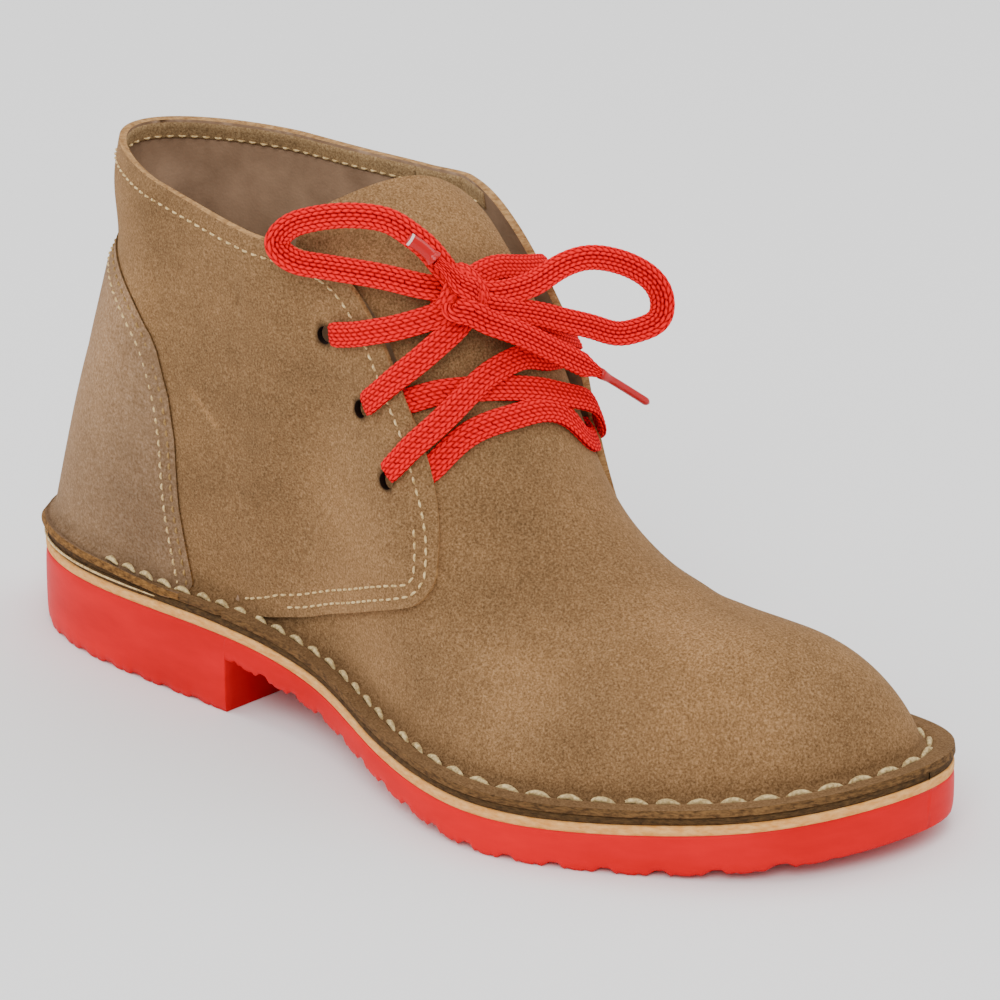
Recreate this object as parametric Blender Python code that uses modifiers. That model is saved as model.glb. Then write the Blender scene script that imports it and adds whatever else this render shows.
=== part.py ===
"""A right-foot vellie (veldskoen chukka) built as its maker builds it: a moulded rubber unit
sole, a leather midsole, a leather runner, and a hollow suede upper whose foot is turned
outwards and stitched down, with a back counter and two laced quarters over the vamp.

The shoe stands on z = 0 with its toe towards +X and the wearer's left towards +Y.
Sizes are in millimetres and become metres only where a mesh is made.  Inside the functions
x runs from the back of the heel and y from the axis of the heel; shared_origin() moves the
origin to the middle of the sole.
"""
import math

import bmesh
import bpy
import numpy as np

MM = 0.001
GAP = 0.3                     # running gap between two pieces that touch

# Thickness of each layer at the edge, from the ground up.
MIDSOLE = 2.2
RUNNER = 1.8
FLANGE = 1.8                  # the foot of the upper, turned out flat
INSOLE = 2.4

LEATHER = 2.0                 # wall of vamp and quarters
OVERLAY = 1.9                 # how far one panel stands proud of the panel below it
LOCK = 1.0                    # how deep an overlay is fused into the wall that it lies on
TONGUE_WALL = 2.0

LATERAL = -1                  # outer side of a right shoe, towards -Y
MEDIAL = 1

# Edge of the sole seen from above, round from the heel by the outer side: x, y.
SOLE_EDGE = (
    (0, 0), (7, -21), (28, -33), (60, -35.8), (100, -34.6), (124, -35), (149, -42.7),
    (181, -50.5), (205, -47.4), (233, -32), (259, -10), (271.5, 18),
    (270, 38), (255, 51), (228, 55.5), (197, 54.5), (160, 44), (122, 31), (92, 29.5),
    (60, 34), (28, 33.5), (7, 21),
)

# Top of the rubber along the sole: x, height.
RUBBER_TOP = ((-5, 21), (60, 21), (88, 21), (105, 19.6), (120, 17.0), (138, 14.2), (155, 12.0),
              (175, 10.5), (195, 9.8), (215, 9.8), (235, 10.8), (255, 13.0), (272, 16.0))
BREAST = 91.0                 # front face of the heel
ARCH_RISE = 14.4              # underside of the waist just before the heel
BALL_FLAT = (198.0, 224.0)    # the flat spot under the ball
TOE_SPRING = 5.6
RIB_PITCH = 11.0
RIB_DEPTH = 1.5

# How far the wall of the upper stands in from the edge of the sole: x, inset.
FLANGE_WIDTH = ((-5, 2.5), (20, 4.0), (60, 5.5), (120, 6.5), (180, 7.0), (272, 8.0))

# Vamp and tongue: x, height of the ridge, and the powers that shape the section.
VAMP = (
    # x, ridge, side power, top power
    (98, 172, 4.2, 2.4), (123, 147, 4.2, 2.4), (131, 140.5, 4.1, 2.3), (139, 132.5, 3.8, 2.1),
    (150, 119, 3.2, 1.75), (160, 103, 2.5, 1.45), (168, 88, 2.1, 1.33), (176, 75.5, 1.93, 1.28),
    (184, 67, 1.87, 1.26), (192, 61, 1.87, 1.25), (200, 57, 1.95, 1.26), (210, 53.5, 2.1, 1.28),
    (222, 51.6, 2.25, 1.32), (235, 51.4, 2.35, 1.35), (250, 50.5, 2.45, 1.38), (272, 46, 2.5, 1.4),
)
TOE_POLE = (226.0, 8.0)       # the middle of the toe cap, where the panels' rows meet
RIDGE_Y = ((98, 0), (172, 1.5), (226, 8.0), (272, 8.0))

# Ankle: height, x of the back, half width at x = 60, half widths at x = 100 and at x = 130,
# and how square the round of the heel is: 2 is an ellipse, 1 a parabola.
ANKLE = (
    # z, back, at 60, outer at 100, inner at 100, outer at 130, inner at 130, power
    (50, 9.5, 31.5, 31.5, 29.0, 32.0, 30.5, 2.35),
    (75, 16.2, 31.0, 32.0, 31.0, 33.0, 32.0, 2.05),
    (100, 23.3, 29.0, 31.5, 31.5, 32.0, 31.5, 1.65),
    (112, 25.2, 28.3, 31.5, 31.5, 31.5, 31.0, 1.45),
    (124, 22.9, 28.4, 31.8, 31.8, 31.0, 31.0, 1.3),
    (137, 24.0, 26.4, 32.0, 32.0, 31.0, 31.0, 1.15),
)
HEEL_X = 60.0                 # where the round of the heel ends
HEEL_POWER = 2.6              # how square the round is at the foot

# The quarters' outline from the side: upper edge on either side, and lower edge.
TOPLINE = (
    # x, outer, inner
    (24, 136, 136), (50, 134.5, 135), (80, 132, 133.5), (100, 130, 133.5), (114, 128.5, 133),
    (122, 126, 132.5), (128, 122.5, 131), (134, 117, 127.5), (140, 110, 120),
    (146, 100.5, 109), (152, 89.5, 97), (157, 81, 86.5), (161, 73, 76), (164, 64.5, 66),
    (165.5, 57.5, 57.5),
)
BOTTOM_LINE = ((104, 25), (111, 31), (124, 36.8), (136, 40.8), (148, 44.2), (158, 47.8),
               (163, 51.5), (165.5, 56.5))
QUARTER_FRONT = 165.4
FLAP_STANDOFF = 1.2           # how far the inner flap stands off at its top
COUNTER_LINE = ((24, 110), (31, 109), (43, 105), (56, 98), (63, 90))
COUNTER_FRONT = ((75, 22), (75, 26), (71.5, 50), (70.5, 68), (68, 79), (63, 90))
EYELETS = ((127, 111), (139, 96), (148, 80))
EYELET_HOLE = 4.2

# The vamp's rows run from its foot to its ridge; each has a foot x and a ridge x.
VAMP_RUNS = ((90, 160), (97, 161.2), (104, 162.5), (118, 166), (133, 170.5), (149, 176.5), (166, 184),
             (184, 194.5), (203, 207), (216, 217.5))
TOE_SPREAD = 15               # rows that fan out over the toe
TONGUE_COLUMNS = ((0, 0.74), (0.16, 0.75), (0.33, 0.76), (0.5, 0.78), (0.66, 0.79), (0.82, 0.78),
                  (1, 0.72))    # share of the way from joint to tip, half width as rho
TONGUE_TIP = 124.5
# The tongue's upper edge from its outer corner to its inner one: share, x, y, height.
TONGUE_EDGE = ((-1, 108.5, -25, 126), (-0.82, 110.2, -23.5, 134), (-0.6, 114.3, -18.5, 138.6),
               (-0.32, 118.7, -9.5, 141.7), (0, 122.6, 0.5, 142.9), (0.3, 125.3, 8, 141.3),
               (0.6, 128.1, 14.5, 137), (0.82, 130.8, 18, 132), (1, 132.4, 19, 126.5))
LEAVE_ANKLE = 96.0            # x where the quarters start to leave the ankle for the vamp
REACH_VAMP = 40.0             # how far in front of it they have reached the vamp
LAP_RUN = 12.0                # lap over the vamp by which they lie on it
FLOOR_DROP = 14.0             # until then they keep above a floor that rises to the vamp:
FLOOR_RISE = 20.0             # how far below it the floor starts, over how long it rises,
FLOOR_SOFT = 2.0              # and how softly it is met
TONGUE_LIFT = 1.1             # extra lift of the quarters where they lie over the tongue
VAMP_STEPS = (1.0, 0.985, 0.95, 0.88, 0.79, 0.68, 0.56, 0.43, 0.29, 0.15, 0.0)

# The lace is a flat braid.  A strand is a short run of it from flap to flap, given by hand-set
# points from one end to the other; its flat side follows the foot below it.
LACE_WIDTH = 7.5
LACE_THICK = 2.2
LOWER_STRANDS = (
    ((150, -35.5, 80), (155, -32.5, 86.5), (159.5, -26.5, 92.5), (163, -17.5, 98.5),
     (164.5, -7, 103), (163.7, 2, 105), (162.6, 8.5, 104)),
    ((155.5, -24.5, 96.5), (159.5, -18, 99), (163.5, -8, 99.5), (165.3, 2, 98.3),
     (165.5, 10.5, 95.8), (164.5, 18.5, 91.5), (161.5, 25.5, 88), (156.5, 31, 84.5),
     (150.5, 33.8, 81)),
    ((160.5, -25, 87), (164, -18.5, 91), (166.5, -9, 94.2), (168, -0.5, 94.2), (168.5, 8, 92),
     (167.5, 15.5, 87.5)),
)
UPPER_STRANDS = (
    ((127, -31.5, 110.5), (134, -31.3, 113.2), (141.5, -29.5, 115.7), (147.5, -24.5, 117),
     (151.5, -17.5, 117.8), (153.5, -9, 118.5), (154, -3, 118.6)),
    ((140, -33.5, 95.5), (146.5, -31.5, 102), (151.5, -26.5, 108), (154.5, -19.5, 112.8),
     (155.3, -10, 116.2), (155, -3, 117.2)),
    ((154.3, -5, 118), (156.5, 5, 117), (157, 13.5, 112.5), (154.8, 21.5, 107),
     (149, 30, 100.5), (141.5, 32.3, 96.5)),
    ((153, -6, 119.5), (151.5, 4, 122), (149, 14, 123), (145, 23, 121.5), (139, 29.5, 116.5),
     (129, 30.5, 111.5)),
)
KNOT_CENTRE = (156.3, -7.5, 125.2)
KNOT_RADII = (4.2, 8.0, 6.3)   # out from the foot, across it and up it
KNOT_TILT = -39.0
LACE_TUBE = 4.6               # a round tube of the braid's own section area
LEFT_LOOP = ((153, -14.5, 124.9), (146.5, -20, 125), (139, -25, 126), (129.5, -29.5, 127.5),
             (120.5, -32.5, 128), (113.7, -34, 129), (111, -34.5, 133), (114, -33.5, 137.5),
             (121, -30.5, 140.5), (129.5, -27, 141.7), (136, -23.5, 141.2),
             (141.5, -19.5, 138), (146.5, -16, 134), (151.8, -11.8, 129.8))
RIGHT_LOOP = ((155.4, 1.7, 126.4), (157.5, 8, 124.5), (160, 16, 124), (161, 23, 124.5),
              (162, 31, 123.5), (163.5, 38, 120), (165, 43, 115), (166.8, 45, 109.5),
              (166.3, 43, 104.5), (165, 38, 103.3), (165, 33, 104.5), (164, 27, 107.3),
              (163, 21, 110.2), (162.5, 14, 114), (161.8, 7, 117.5), (159.9, 0.2, 120.9))
END_A = ((160, -14.6, 129.4), (157.5, -17, 131.5), (154.5, -19, 134))
AGLET_A = ((154.2, -19.2, 134.3), (150, -22.5, 138.2), (146.5, -25.5, 141))
END_B = ((162, -6.2, 118.7), (164.7, 1, 114), (166.6, 9, 108), (167, 18, 102.3),
         (166.8, 26.5, 96.8))
AGLET_B = ((166.9, 26.9, 96.4), (167, 33, 91), (167.8, 41, 85))
AGLET_TUBE = 2.6

SURFACES = (
    # name, linear colour, roughness
    ("suede", (0.30, 0.195, 0.105), 0.95),
    ("rubber", (0.72, 0.045, 0.035), 0.45),
    ("midsole", (0.79, 0.50, 0.22), 0.7),
    ("runner", (0.16, 0.08, 0.032), 0.8),
    ("insole", (0.24, 0.16, 0.10), 0.8),
    ("lace", (0.66, 0.012, 0.016), 0.6),
    ("aglet", (0.80, 0.30, 0.28), 0.15),
)


def spline(knots, values, at):
    """Natural cubic spline through the values, read at the given places."""
    knots = np.asarray(knots, float)
    values = np.asarray(values, float)
    at = np.asarray(at, float)
    count = len(knots)
    step = np.diff(knots)
    band = np.eye(count)
    load = np.zeros(values.shape)
    for i in range(1, count - 1):
        band[i, i - 1:i + 2] = step[i - 1], 2 * (step[i - 1] + step[i]), step[i]
        rise = (values[i + 1] - values[i]) / step[i] - (values[i] - values[i - 1]) / step[i - 1]
        load[i] = 6 * rise
    bend = np.linalg.solve(band, load)
    i = np.clip(np.searchsorted(knots, at, side="right") - 1, 0, count - 2)
    a = (knots[i + 1] - at) / step[i]
    b = 1 - a
    h = step[i] ** 2 / 6
    if values.ndim > 1:
        a, b, h = a[..., None], b[..., None], h[..., None]
    return a * values[i] + b * values[i + 1] + ((a ** 3 - a) * bend[i] + (b ** 3 - b) * bend[i + 1]) * h


def column(table, place, at):
    """One named column of a table, splined along its first column."""
    return spline([row[0] for row in table], [row[place] for row in table], at)


def sole_edge(samples=1400):
    """The closed edge of the sole as points, and the index of the toe's tip."""
    rows = np.array(SOLE_EDGE, float)
    wrap = 4
    ring = np.vstack([rows[-wrap:], rows, rows[:wrap + 1]])
    stride = np.sqrt(np.linalg.norm(np.diff(ring, axis=0), axis=1))
    knots = np.concatenate([[0], np.cumsum(stride)])
    start, end = knots[wrap], knots[wrap + len(rows)]
    points = spline(knots, ring, np.linspace(start, end, samples, endpoint=False))
    return points, int(points[:, 0].argmax())


EDGE, TIP = sole_edge()
ORIGIN = np.array([*(EDGE.min(axis=0) + EDGE.max(axis=0)) / 2, 0.0])


def edge_y(side, x):
    """y of the sole's edge at x, on one side."""
    half = EDGE[:TIP + 1] if side == LATERAL else np.vstack([EDGE[TIP:], EDGE[:1]])[::-1]
    order = np.argsort(half[:, 0])
    return np.interp(x, half[order, 0], half[order, 1])


def welt_top(x):
    """Height of the flange's underside along the sole."""
    return column(RUBBER_TOP, 1, x) + MIDSOLE + RUNNER + 3 * GAP


def flange_top(x):
    return welt_top(x) + FLANGE


def feather_y(side, x):
    """y of the foot of the wall."""
    return edge_y(side, x) - side * column(FLANGE_WIDTH, 1, x)


def vamp_point(side, x, rho):
    """Point of the vamp's outer form at x: rho is 1 at the foot and 0 on the ridge."""
    ridge = column(VAMP, 1, x)
    side_power = column(VAMP, 2, x)
    top_power = column(VAMP, 3, x)
    base = flange_top(x)
    ridge_y = np.interp(x, *np.transpose(RIDGE_Y))
    y = ridge_y + (feather_y(side, x) - ridge_y) * rho
    z = base + (ridge - base) * np.maximum(1 - rho ** side_power, 0) ** (1 / top_power)
    return np.stack([x, y, z], -1)


def vamp_rho(x, height):
    """rho of the vamp's form where it has climbed the given share of its height."""
    return np.maximum(1 - height ** column(VAMP, 3, x), 0) ** (1 / column(VAMP, 2, x))


def smoothstep(t):
    t = np.clip(t, 0, 1)
    return t * t * (3 - 2 * t)


def edge_from(centre, angle):
    """The point of the sole's edge that is seen from a centre at an angle."""
    spokes = EDGE - np.asarray(centre)
    bearing = np.arctan2(spokes[:, 1], spokes[:, 0])
    order = np.argsort(bearing)
    reach = np.interp(angle, bearing[order], np.hypot(*spokes[order].T), period=2 * math.pi)
    return np.stack([centre[0] + reach * np.cos(angle), centre[1] + reach * np.sin(angle)], -1)


def ankle_width(side, x, z):
    """Half width of the ankle's outer form at x, from the end of the heel's round forward."""
    columns = (2, 3, 5) if side == LATERAL else (2, 4, 6)
    widths = np.array([[row[c] for c in columns] for row in ANKLE], float)
    at_x = spline((HEEL_X, 100.0, 130.0), widths.T, x)
    foot = side * feather_y(side, x) + OVERLAY * smoothstep((x - 90) / 14)
    knots = np.concatenate([[float(flange_top(x))], [row[0] for row in ANKLE]])
    return float(spline(knots, np.concatenate([[foot], at_x]), z))


def heel_form(place, foot, z):
    """One column of the ankle's table at a height, with its value at the foot given."""
    knots = [float(flange_top(0))] + [row[0] for row in ANKLE]
    return float(spline(knots, [foot] + [row[place] for row in ANKLE], z))


def vamp_line(foot_x, ridge_x, rho):
    """x along one row of the vamp, swept back towards the foot."""
    climbed = np.maximum(1 - rho ** 2, 0) ** 0.77
    return foot_x + (ridge_x - foot_x) * (1 - (1 - climbed) ** 2.2)


def cover(station, z):
    """How far in front of the vamp's rear edge a point of the wall lies, along the foot."""
    base = float(flange_top(station))
    height = np.clip((z - base) / (float(column(VAMP, 1, station)) - base), 0, 0.995)
    rho = vamp_rho(station, height)
    return station - float(vamp_line(*VAMP_RUNS[0], rho)), rho


def quarter_point(side, station, z):
    """Outer form of the quarters.  From HEEL_X forward the station is x; behind it, it counts
    down to 0 at the centre of the back, round a squared-off half ellipse."""
    if station < HEEL_X:
        turn = (HEEL_X - station) / HEEL_X * math.pi / 2
        square = heel_form(7, HEEL_POWER, z)
        back = heel_form(1, FLANGE_WIDTH[0][1] + 0.6, z)
        wide = ankle_width(side, HEEL_X, z)
        x = HEEL_X - (HEEL_X - back) * math.sin(turn) ** (2 / square)
        y = side * wide * max(math.cos(turn), 0) ** (2 / max(square, 2))
        return np.array([x, y, z])
    y = side * ankle_width(side, station, z)
    if station > LEAVE_ANKLE:
        lap, rho = cover(station, z)
        lift = OVERLAY + TONGUE_LIFT * (1 - smoothstep((lap - 1) / 6))
        wall = side * float(vamp_point(side, station, rho)[1]) + lift
        floor = wall - FLOOR_DROP * (1 - smoothstep((station - LEAVE_ANKLE) / FLOOR_RISE))
        over = 0.5 * (side * y + floor + math.hypot(side * y - floor, FLOOR_SOFT))
        ahead = smoothstep((station - LEAVE_ANKLE) / REACH_VAMP)
        forward = 1 - (1 - ahead) * (1 - smoothstep(lap / LAP_RUN))
        y = side * ((1 - forward) * over + forward * wall)
    if side == MEDIAL:
        y += FLAP_STANDOFF * smoothstep((z - 60) / 40) * smoothstep((station - 112) / 20)
    return np.array([station, y, z])


def shared_origin(point):
    """Millimetres from the back of the heel, turned into metres from the foot of the part."""
    return tuple((np.asarray(point, float) - ORIGIN) * MM)


def heel_z(table, station):
    """Height on a line drawn over x, at a station of the quarters."""
    x = quarter_point(LATERAL, station, 105)[0] if station < HEEL_X else station
    return float(np.interp(x, *np.transpose(table)))


def flange_edge(point, station, side):
    """Point of the sole's edge that lies outside a point at the foot of the wall."""
    if station >= HEEL_X:
        return np.array([station, float(edge_y(side, station))])
    centre = np.array([HEEL_X, 0.0])
    spoke = point[:2] - centre
    return edge_from(centre, math.atan2(spoke[1], spoke[0]))


def foot_rows(foot, out, lift, reach):
    """The turned-out foot of a panel: its edge, the flat beside the wall and the small bend."""
    way = out - foot[:2]
    span = np.linalg.norm(way)
    way = way / span
    flat = span * reach
    near = min(1.6, 0.8 * flat)
    rows = []
    for distance, rise in ((flat, 0.0), (near, 0.0), (0.28 * near, 0.45)):
        place = foot[:2] + way * distance
        rows.append(np.append(place, float(flange_top(place[0])) + lift + rise))
    return rows


def quarter_column(side, station):
    """One column of the quarters, from the edge of the flange up to the topline."""
    place = 1 if side == LATERAL else 2
    x = station if station >= HEEL_X else quarter_point(side, station, 134)[0]
    top = float(np.interp(x, [row[0] for row in TOPLINE], [row[place] for row in TOPLINE]))
    if station > 106:
        low = float(np.interp(station, *np.transpose(BOTTOM_LINE)))
        return [quarter_point(side, station, z) for z in np.linspace(low, top, 15)]
    x = quarter_point(side, station, float(flange_top(0)) + 2)[0]
    low = float(flange_top(x)) + 1.68
    wall = [quarter_point(side, station, z) for z in np.linspace(low, top, 12)]
    reach = 1.0 if station < 100 else 0.12
    rows = foot_rows(wall[0], flange_edge(wall[0], station, side), 0.18, reach)
    return rows + wall


QUARTER_STATIONS = (QUARTER_FRONT, 160, 152, 143, 134, 125, 118, 111, 104, 101, 98, 93, 88, 78, 68, 60,
                    52, 44, 36, 28, 20, 10)


def quarter_grid():
    """Columns of the quarters from the outer front edge, round the heel, to the inner one."""
    columns = [quarter_column(LATERAL, station) for station in QUARTER_STATIONS]
    columns.append(quarter_column(LATERAL, 0.0))
    columns += [quarter_column(MEDIAL, station) for station in QUARTER_STATIONS[::-1]]
    return np.array(columns)


def vamp_row(side, foot_x, ridge_x):
    """One row of the vamp, from the edge of the flange over the foot up to the ridge."""
    rho = np.array(VAMP_STEPS)
    wall = vamp_point(side, vamp_line(foot_x, ridge_x, rho), rho)
    tuck = 0.8 * (1 - smoothstep((wall[:, 0] - 96) / 12)) * np.clip(rho * 4, 0, 1)
    wall[:, 1] -= side * tuck
    base = float(flange_top(foot_x))
    wall[0, 2] = base + 1.6
    wall[1:, 2] = np.maximum(wall[1:, 2], base + 2.2)
    out = np.array([foot_x, float(edge_y(side, foot_x)) - side * 0.15])
    return foot_rows(wall[0], out, 0.1, 1.0) + list(wall)


def toe_row(angle):
    """One row that fans out from the middle of the toe cap."""
    pole = np.array(TOE_POLE)
    out = edge_from(pole, angle)
    way = (out - pole) / np.linalg.norm(out - pole)
    foot = out - way * float(column(FLANGE_WIDTH, 1, out[0]))
    base = float(flange_top(foot[0]))
    wall = []
    for rho in VAMP_STEPS:
        place = pole + (foot - pole) * rho
        ridge = float(column(VAMP, 1, place[0]))
        climb = max(1 - rho ** column(VAMP, 2, place[0]), 0) ** (1 / column(VAMP, 3, place[0]))
        wall.append(np.append(place, base + (ridge - base) * climb))
    wall[0][2] = base + 1.6
    wall[1][2] = max(wall[1][2], base + 2.2)
    return foot_rows(wall[0], out - way * 0.15, 0.1, 1.0) + wall


def vamp_grid():
    """Rows of the vamp from the outer waist, round the toe, to the inner waist."""
    rows = [vamp_row(LATERAL, *run) for run in VAMP_RUNS]
    rows += [toe_row(angle) for angle in np.linspace(-math.pi / 2, math.pi / 2, TOE_SPREAD)]
    rows += [vamp_row(MEDIAL, *run) for run in VAMP_RUNS[::-1]]
    return np.array(rows)


def counter_grid():
    """Columns of the heel's counter from its outer front edge round to its inner one."""
    fractions = np.array([1, 0.93, 0.84, 0.75, 0.66, 0.57, 0.48, 0.38, 0.28, 0.14])
    columns = []
    for side, share in ((LATERAL, fractions), (LATERAL, np.array([0.0])), (MEDIAL, fractions[::-1])):
        for f in share:
            top = heel_z(COUNTER_LINE, f * COUNTER_FRONT[-1][0])
            low = float(flange_top(0)) - 0.5
            column_points = []
            for t in np.linspace(0, 1, 11):
                z = low + (top - low) * t
                front = float(np.interp(z, [p[1] for p in COUNTER_FRONT], [p[0] for p in COUNTER_FRONT]))
                column_points.append(quarter_point(side, f * front, z))
            columns.append(column_points)
    return np.array(columns)


def tip_point(share):
    """A point of the tongue's upper edge."""
    return np.array([float(column(TONGUE_EDGE, k, share)) for k in (1, 2, 3)])


def tongue_grid():
    """Columns of the tongue from its joint with the vamp up to its rounded tip."""
    columns = []
    for t, reach in TONGUE_COLUMNS:
        points = []
        for share in np.linspace(-1, 1, 15):
            side = LATERAL if share < 0 else MEDIAL
            rho = abs(share) * reach
            root = float(vamp_line(*VAMP_RUNS[0], rho)) - 2 * GAP - 0.1
            x = (1 - t) * root + t * TONGUE_TIP
            tip = vamp_point(side, np.float64(TONGUE_TIP), abs(share) * TONGUE_COLUMNS[-1][1])
            points.append(vamp_point(side, np.float64(x), rho) + t ** 3 * (tip_point(share) - tip))
        columns.append(points)
    return np.array(columns)


def quarter_walls(grid):
    """Thickness of the quarters: deeper where they are fused onto the vamp."""
    walls = np.full(grid.shape[:2], OVERLAY)
    for i, points in enumerate(grid):
        for j, (x, y, z) in enumerate(points):
            if j < 3 and z < float(flange_top(x)) + 1:
                walls[i, j] = FLANGE
            elif x > 98:
                walls[i, j] += LOCK * float(smoothstep((cover(x, z)[0] - 3) / 6))
    return walls


def inner_ring(inset):
    """The sole's edge moved inward by an inset that changes along x."""
    along = np.roll(EDGE, -3, axis=0) - np.roll(EDGE, 3, axis=0)
    along /= np.linalg.norm(along, axis=1)[:, None]
    inward = np.stack([-along[:, 1], along[:, 0]], -1)
    return EDGE + inward * inset(EDGE[:, 0])[:, None]


def ring_y(ring, side, x):
    """y of a ring at x, on one side."""
    tip = int(ring[:, 0].argmax())
    half = ring[:tip + 1] if side == LATERAL else np.vstack([ring[tip:], ring[:1]])
    order = np.argsort(half[:, 0])
    return np.interp(x, half[order, 0], half[order, 1])


def ground(x):
    """Height of the rubber's underside without its ribs."""
    if x <= BREAST:
        return 0.0
    if x < BALL_FLAT[0]:
        t = max(x - BREAST - 2, 0) / (BALL_FLAT[0] - BREAST - 2)
        return ARCH_RISE * (1 - t) ** 1.2
    return TOE_SPRING * (max(x - BALL_FLAT[1], 0) / (272 - BALL_FLAT[1])) ** 1.8


def sole_stations():
    """x and rib depth of every station of the rubber, from the heel's back to the toe."""
    tip = float(EDGE[:, 0].max())
    stations = [(0.12, 0.0), (0.6, 0.0), (1.6, 0.0), (3.2, 0.0)]
    x = 5.5
    while x < tip - 14:
        if x > BREAST - RIB_PITCH and x < BREAST:
            stations += [(x, 0.0), (BREAST, 0.0), (BREAST + 2, 0.0)]
            x = BREAST + 5
            continue
        stations += [(x, 0.0), (x + 5.5, 0.0), (x + 7.0, RIB_DEPTH), (x + 9.0, RIB_DEPTH)]
        x += RIB_PITCH
    rest = [x, x + 5.0, tip - 5.5, tip - 3.2, tip - 1.6, tip - 0.6, tip - 0.12]
    return stations + [(p, 0.0) for p in rest if p > stations[-1][0] + 1]


def layer_stations(first, last):
    """x of every station of a flat layer, closer together at its ends."""
    ends = np.array([0.12, 0.6, 1.6, 3.2, 6.0, 10.0, 15.0])
    middle = np.linspace(first + 21, last - 21, 30)
    return np.concatenate([first + ends, middle, (last - ends)[::-1]])


def material(name, colour, roughness):
    """One Principled material."""
    made = bpy.data.materials.new(name)
    made.use_nodes = True
    shader = made.node_tree.nodes["Principled BSDF"]
    shader.inputs["Base Color"].default_value = (*colour, 1.0)
    shader.inputs["Roughness"].default_value = roughness
    return made


def mesh_object(name, points, faces, surface, home, smooth=True):
    """An object from points in millimetres and faces, with one material."""
    mesh = bpy.data.meshes.new(name)
    mesh.from_pydata([shared_origin(p) for p in points], [], faces)
    mesh.validate()
    mesh.polygons.foreach_set("use_smooth", [smooth] * len(mesh.polygons))
    mesh.materials.append(surface)
    made = bpy.data.objects.new(name, mesh)
    home.objects.link(made)
    return made


def sheet(name, grid, walls, out, flip, surface, home):
    """An open surface through a grid of points, made a closed sheet by a Solidify modifier.
    walls holds the thickness at each point; out is how far the sheet grows outward."""
    index = {}
    places, depths, numbers = [], [], np.zeros(grid.shape[:2], int)
    for i in range(grid.shape[0]):
        for j in range(grid.shape[1]):
            key = tuple(np.round(grid[i, j], 4))
            if key not in index:
                index[key] = len(places)
                places.append(grid[i, j])
                depths.append(walls[i, j])
            numbers[i, j] = index[key]
    faces = []
    for i in range(grid.shape[0] - 1):
        for j in range(grid.shape[1] - 1):
            loop = [numbers[i, j], numbers[i + 1, j], numbers[i + 1, j + 1], numbers[i, j + 1]]
            loop = list(dict.fromkeys(int(k) for k in loop))
            if len(loop) > 2:
                faces.append(loop[::-1] if flip else loop)
    made = mesh_object(name, places, faces, surface, home)
    deepest = max(depths)
    group = made.vertex_groups.new(name="wall")
    for k, depth in enumerate(depths):
        group.add([k], depth / deepest, "REPLACE")
    shell = made.modifiers.new("wall", "SOLIDIFY")
    shell.thickness = deepest * MM
    shell.offset = 2 * out / deepest - 1
    shell.vertex_group = "wall"
    return made


def layer(name, stations, low, high, ring, surface, home):
    """A solid between two heights, with a ring's outline, lofted through stations along x."""
    points = []
    for x, bottom, top in zip(stations, low, high):
        for side in (LATERAL, MEDIAL):
            y = float(ring_y(ring, side, x))
            points += [(x, y, bottom), (x, y, top)]
    faces = [[0, 1, 3, 2]]
    for k in range(len(stations) - 1):
        a, b = 4 * k, 4 * k + 4
        faces += [[a, b, b + 1, a + 1], [a + 1, b + 1, b + 3, a + 3], [a + 3, b + 3, b + 2, a + 2],
                  [a + 2, b + 2, b, a]]
    end = 4 * len(stations) - 4
    faces.append([end, end + 2, end + 3, end + 1])
    return mesh_object(name, points, faces, surface, home, smooth=False)


def boolean(target, tool, kind):
    """Apply one exact boolean to the target and drop the tool."""
    change = target.modifiers.new(kind.lower(), "BOOLEAN")
    change.operation = kind
    change.solver = "EXACT"
    change.object = tool
    bpy.context.view_layer.update()
    graph = bpy.context.evaluated_depsgraph_get()
    result = bpy.data.meshes.new_from_object(target.evaluated_get(graph))
    target.modifiers.clear()
    old = target.data
    target.data = result
    bpy.data.meshes.remove(old)
    bpy.data.objects.remove(tool)


def drop_slivers(target, fewest=40):
    """Remove the stray slivers a boolean leaves where two walls nearly coincide."""
    tidy = bmesh.new()
    tidy.from_mesh(target.data)
    tidy.verts.ensure_lookup_table()
    seen = set()
    stray = []
    for start in tidy.verts:
        if start in seen:
            continue
        island = [start]
        seen.add(start)
        for corner in island:
            for edge in corner.link_edges:
                other = edge.other_vert(corner)
                if other not in seen:
                    seen.add(other)
                    island.append(other)
        if len(island) < fewest:
            stray += island
    bmesh.ops.delete(tidy, geom=stray, context="VERTS")
    tidy.to_mesh(target.data)
    tidy.free()


def eyelet_cutter(side, x, z, surface, home):
    """A short round cutter through one flap of the quarters."""
    here = quarter_point(side, x, z)
    ahead = quarter_point(side, x + 1.5, z) - here
    above = quarter_point(side, x, z + 1.5) - here
    normal = np.cross(above, ahead)
    normal /= np.linalg.norm(normal)
    across = ahead / np.linalg.norm(ahead)
    upward = np.cross(normal, across)
    turns = np.linspace(0, 2 * math.pi, 17)[:-1]
    points = []
    for depth in (-6, 6):
        for turn in turns:
            spoke = across * math.cos(turn) + upward * math.sin(turn)
            points.append(here + normal * depth + spoke * EYELET_HOLE / 2)
    faces = [[k, (k + 1) % 16, 16 + (k + 1) % 16, 16 + k] for k in range(16)]
    faces += [list(range(16))[::-1], list(range(16, 32))]
    cutter = mesh_object("eyelet_cutter", points, faces, surface, home)
    cutter.hide_render = True
    cutter.display_type = "WIRE"
    tidy = bmesh.new()
    tidy.from_mesh(cutter.data)
    bmesh.ops.recalc_face_normals(tidy, faces=tidy.faces)
    tidy.to_mesh(cutter.data)
    tidy.free()
    return cutter


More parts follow.
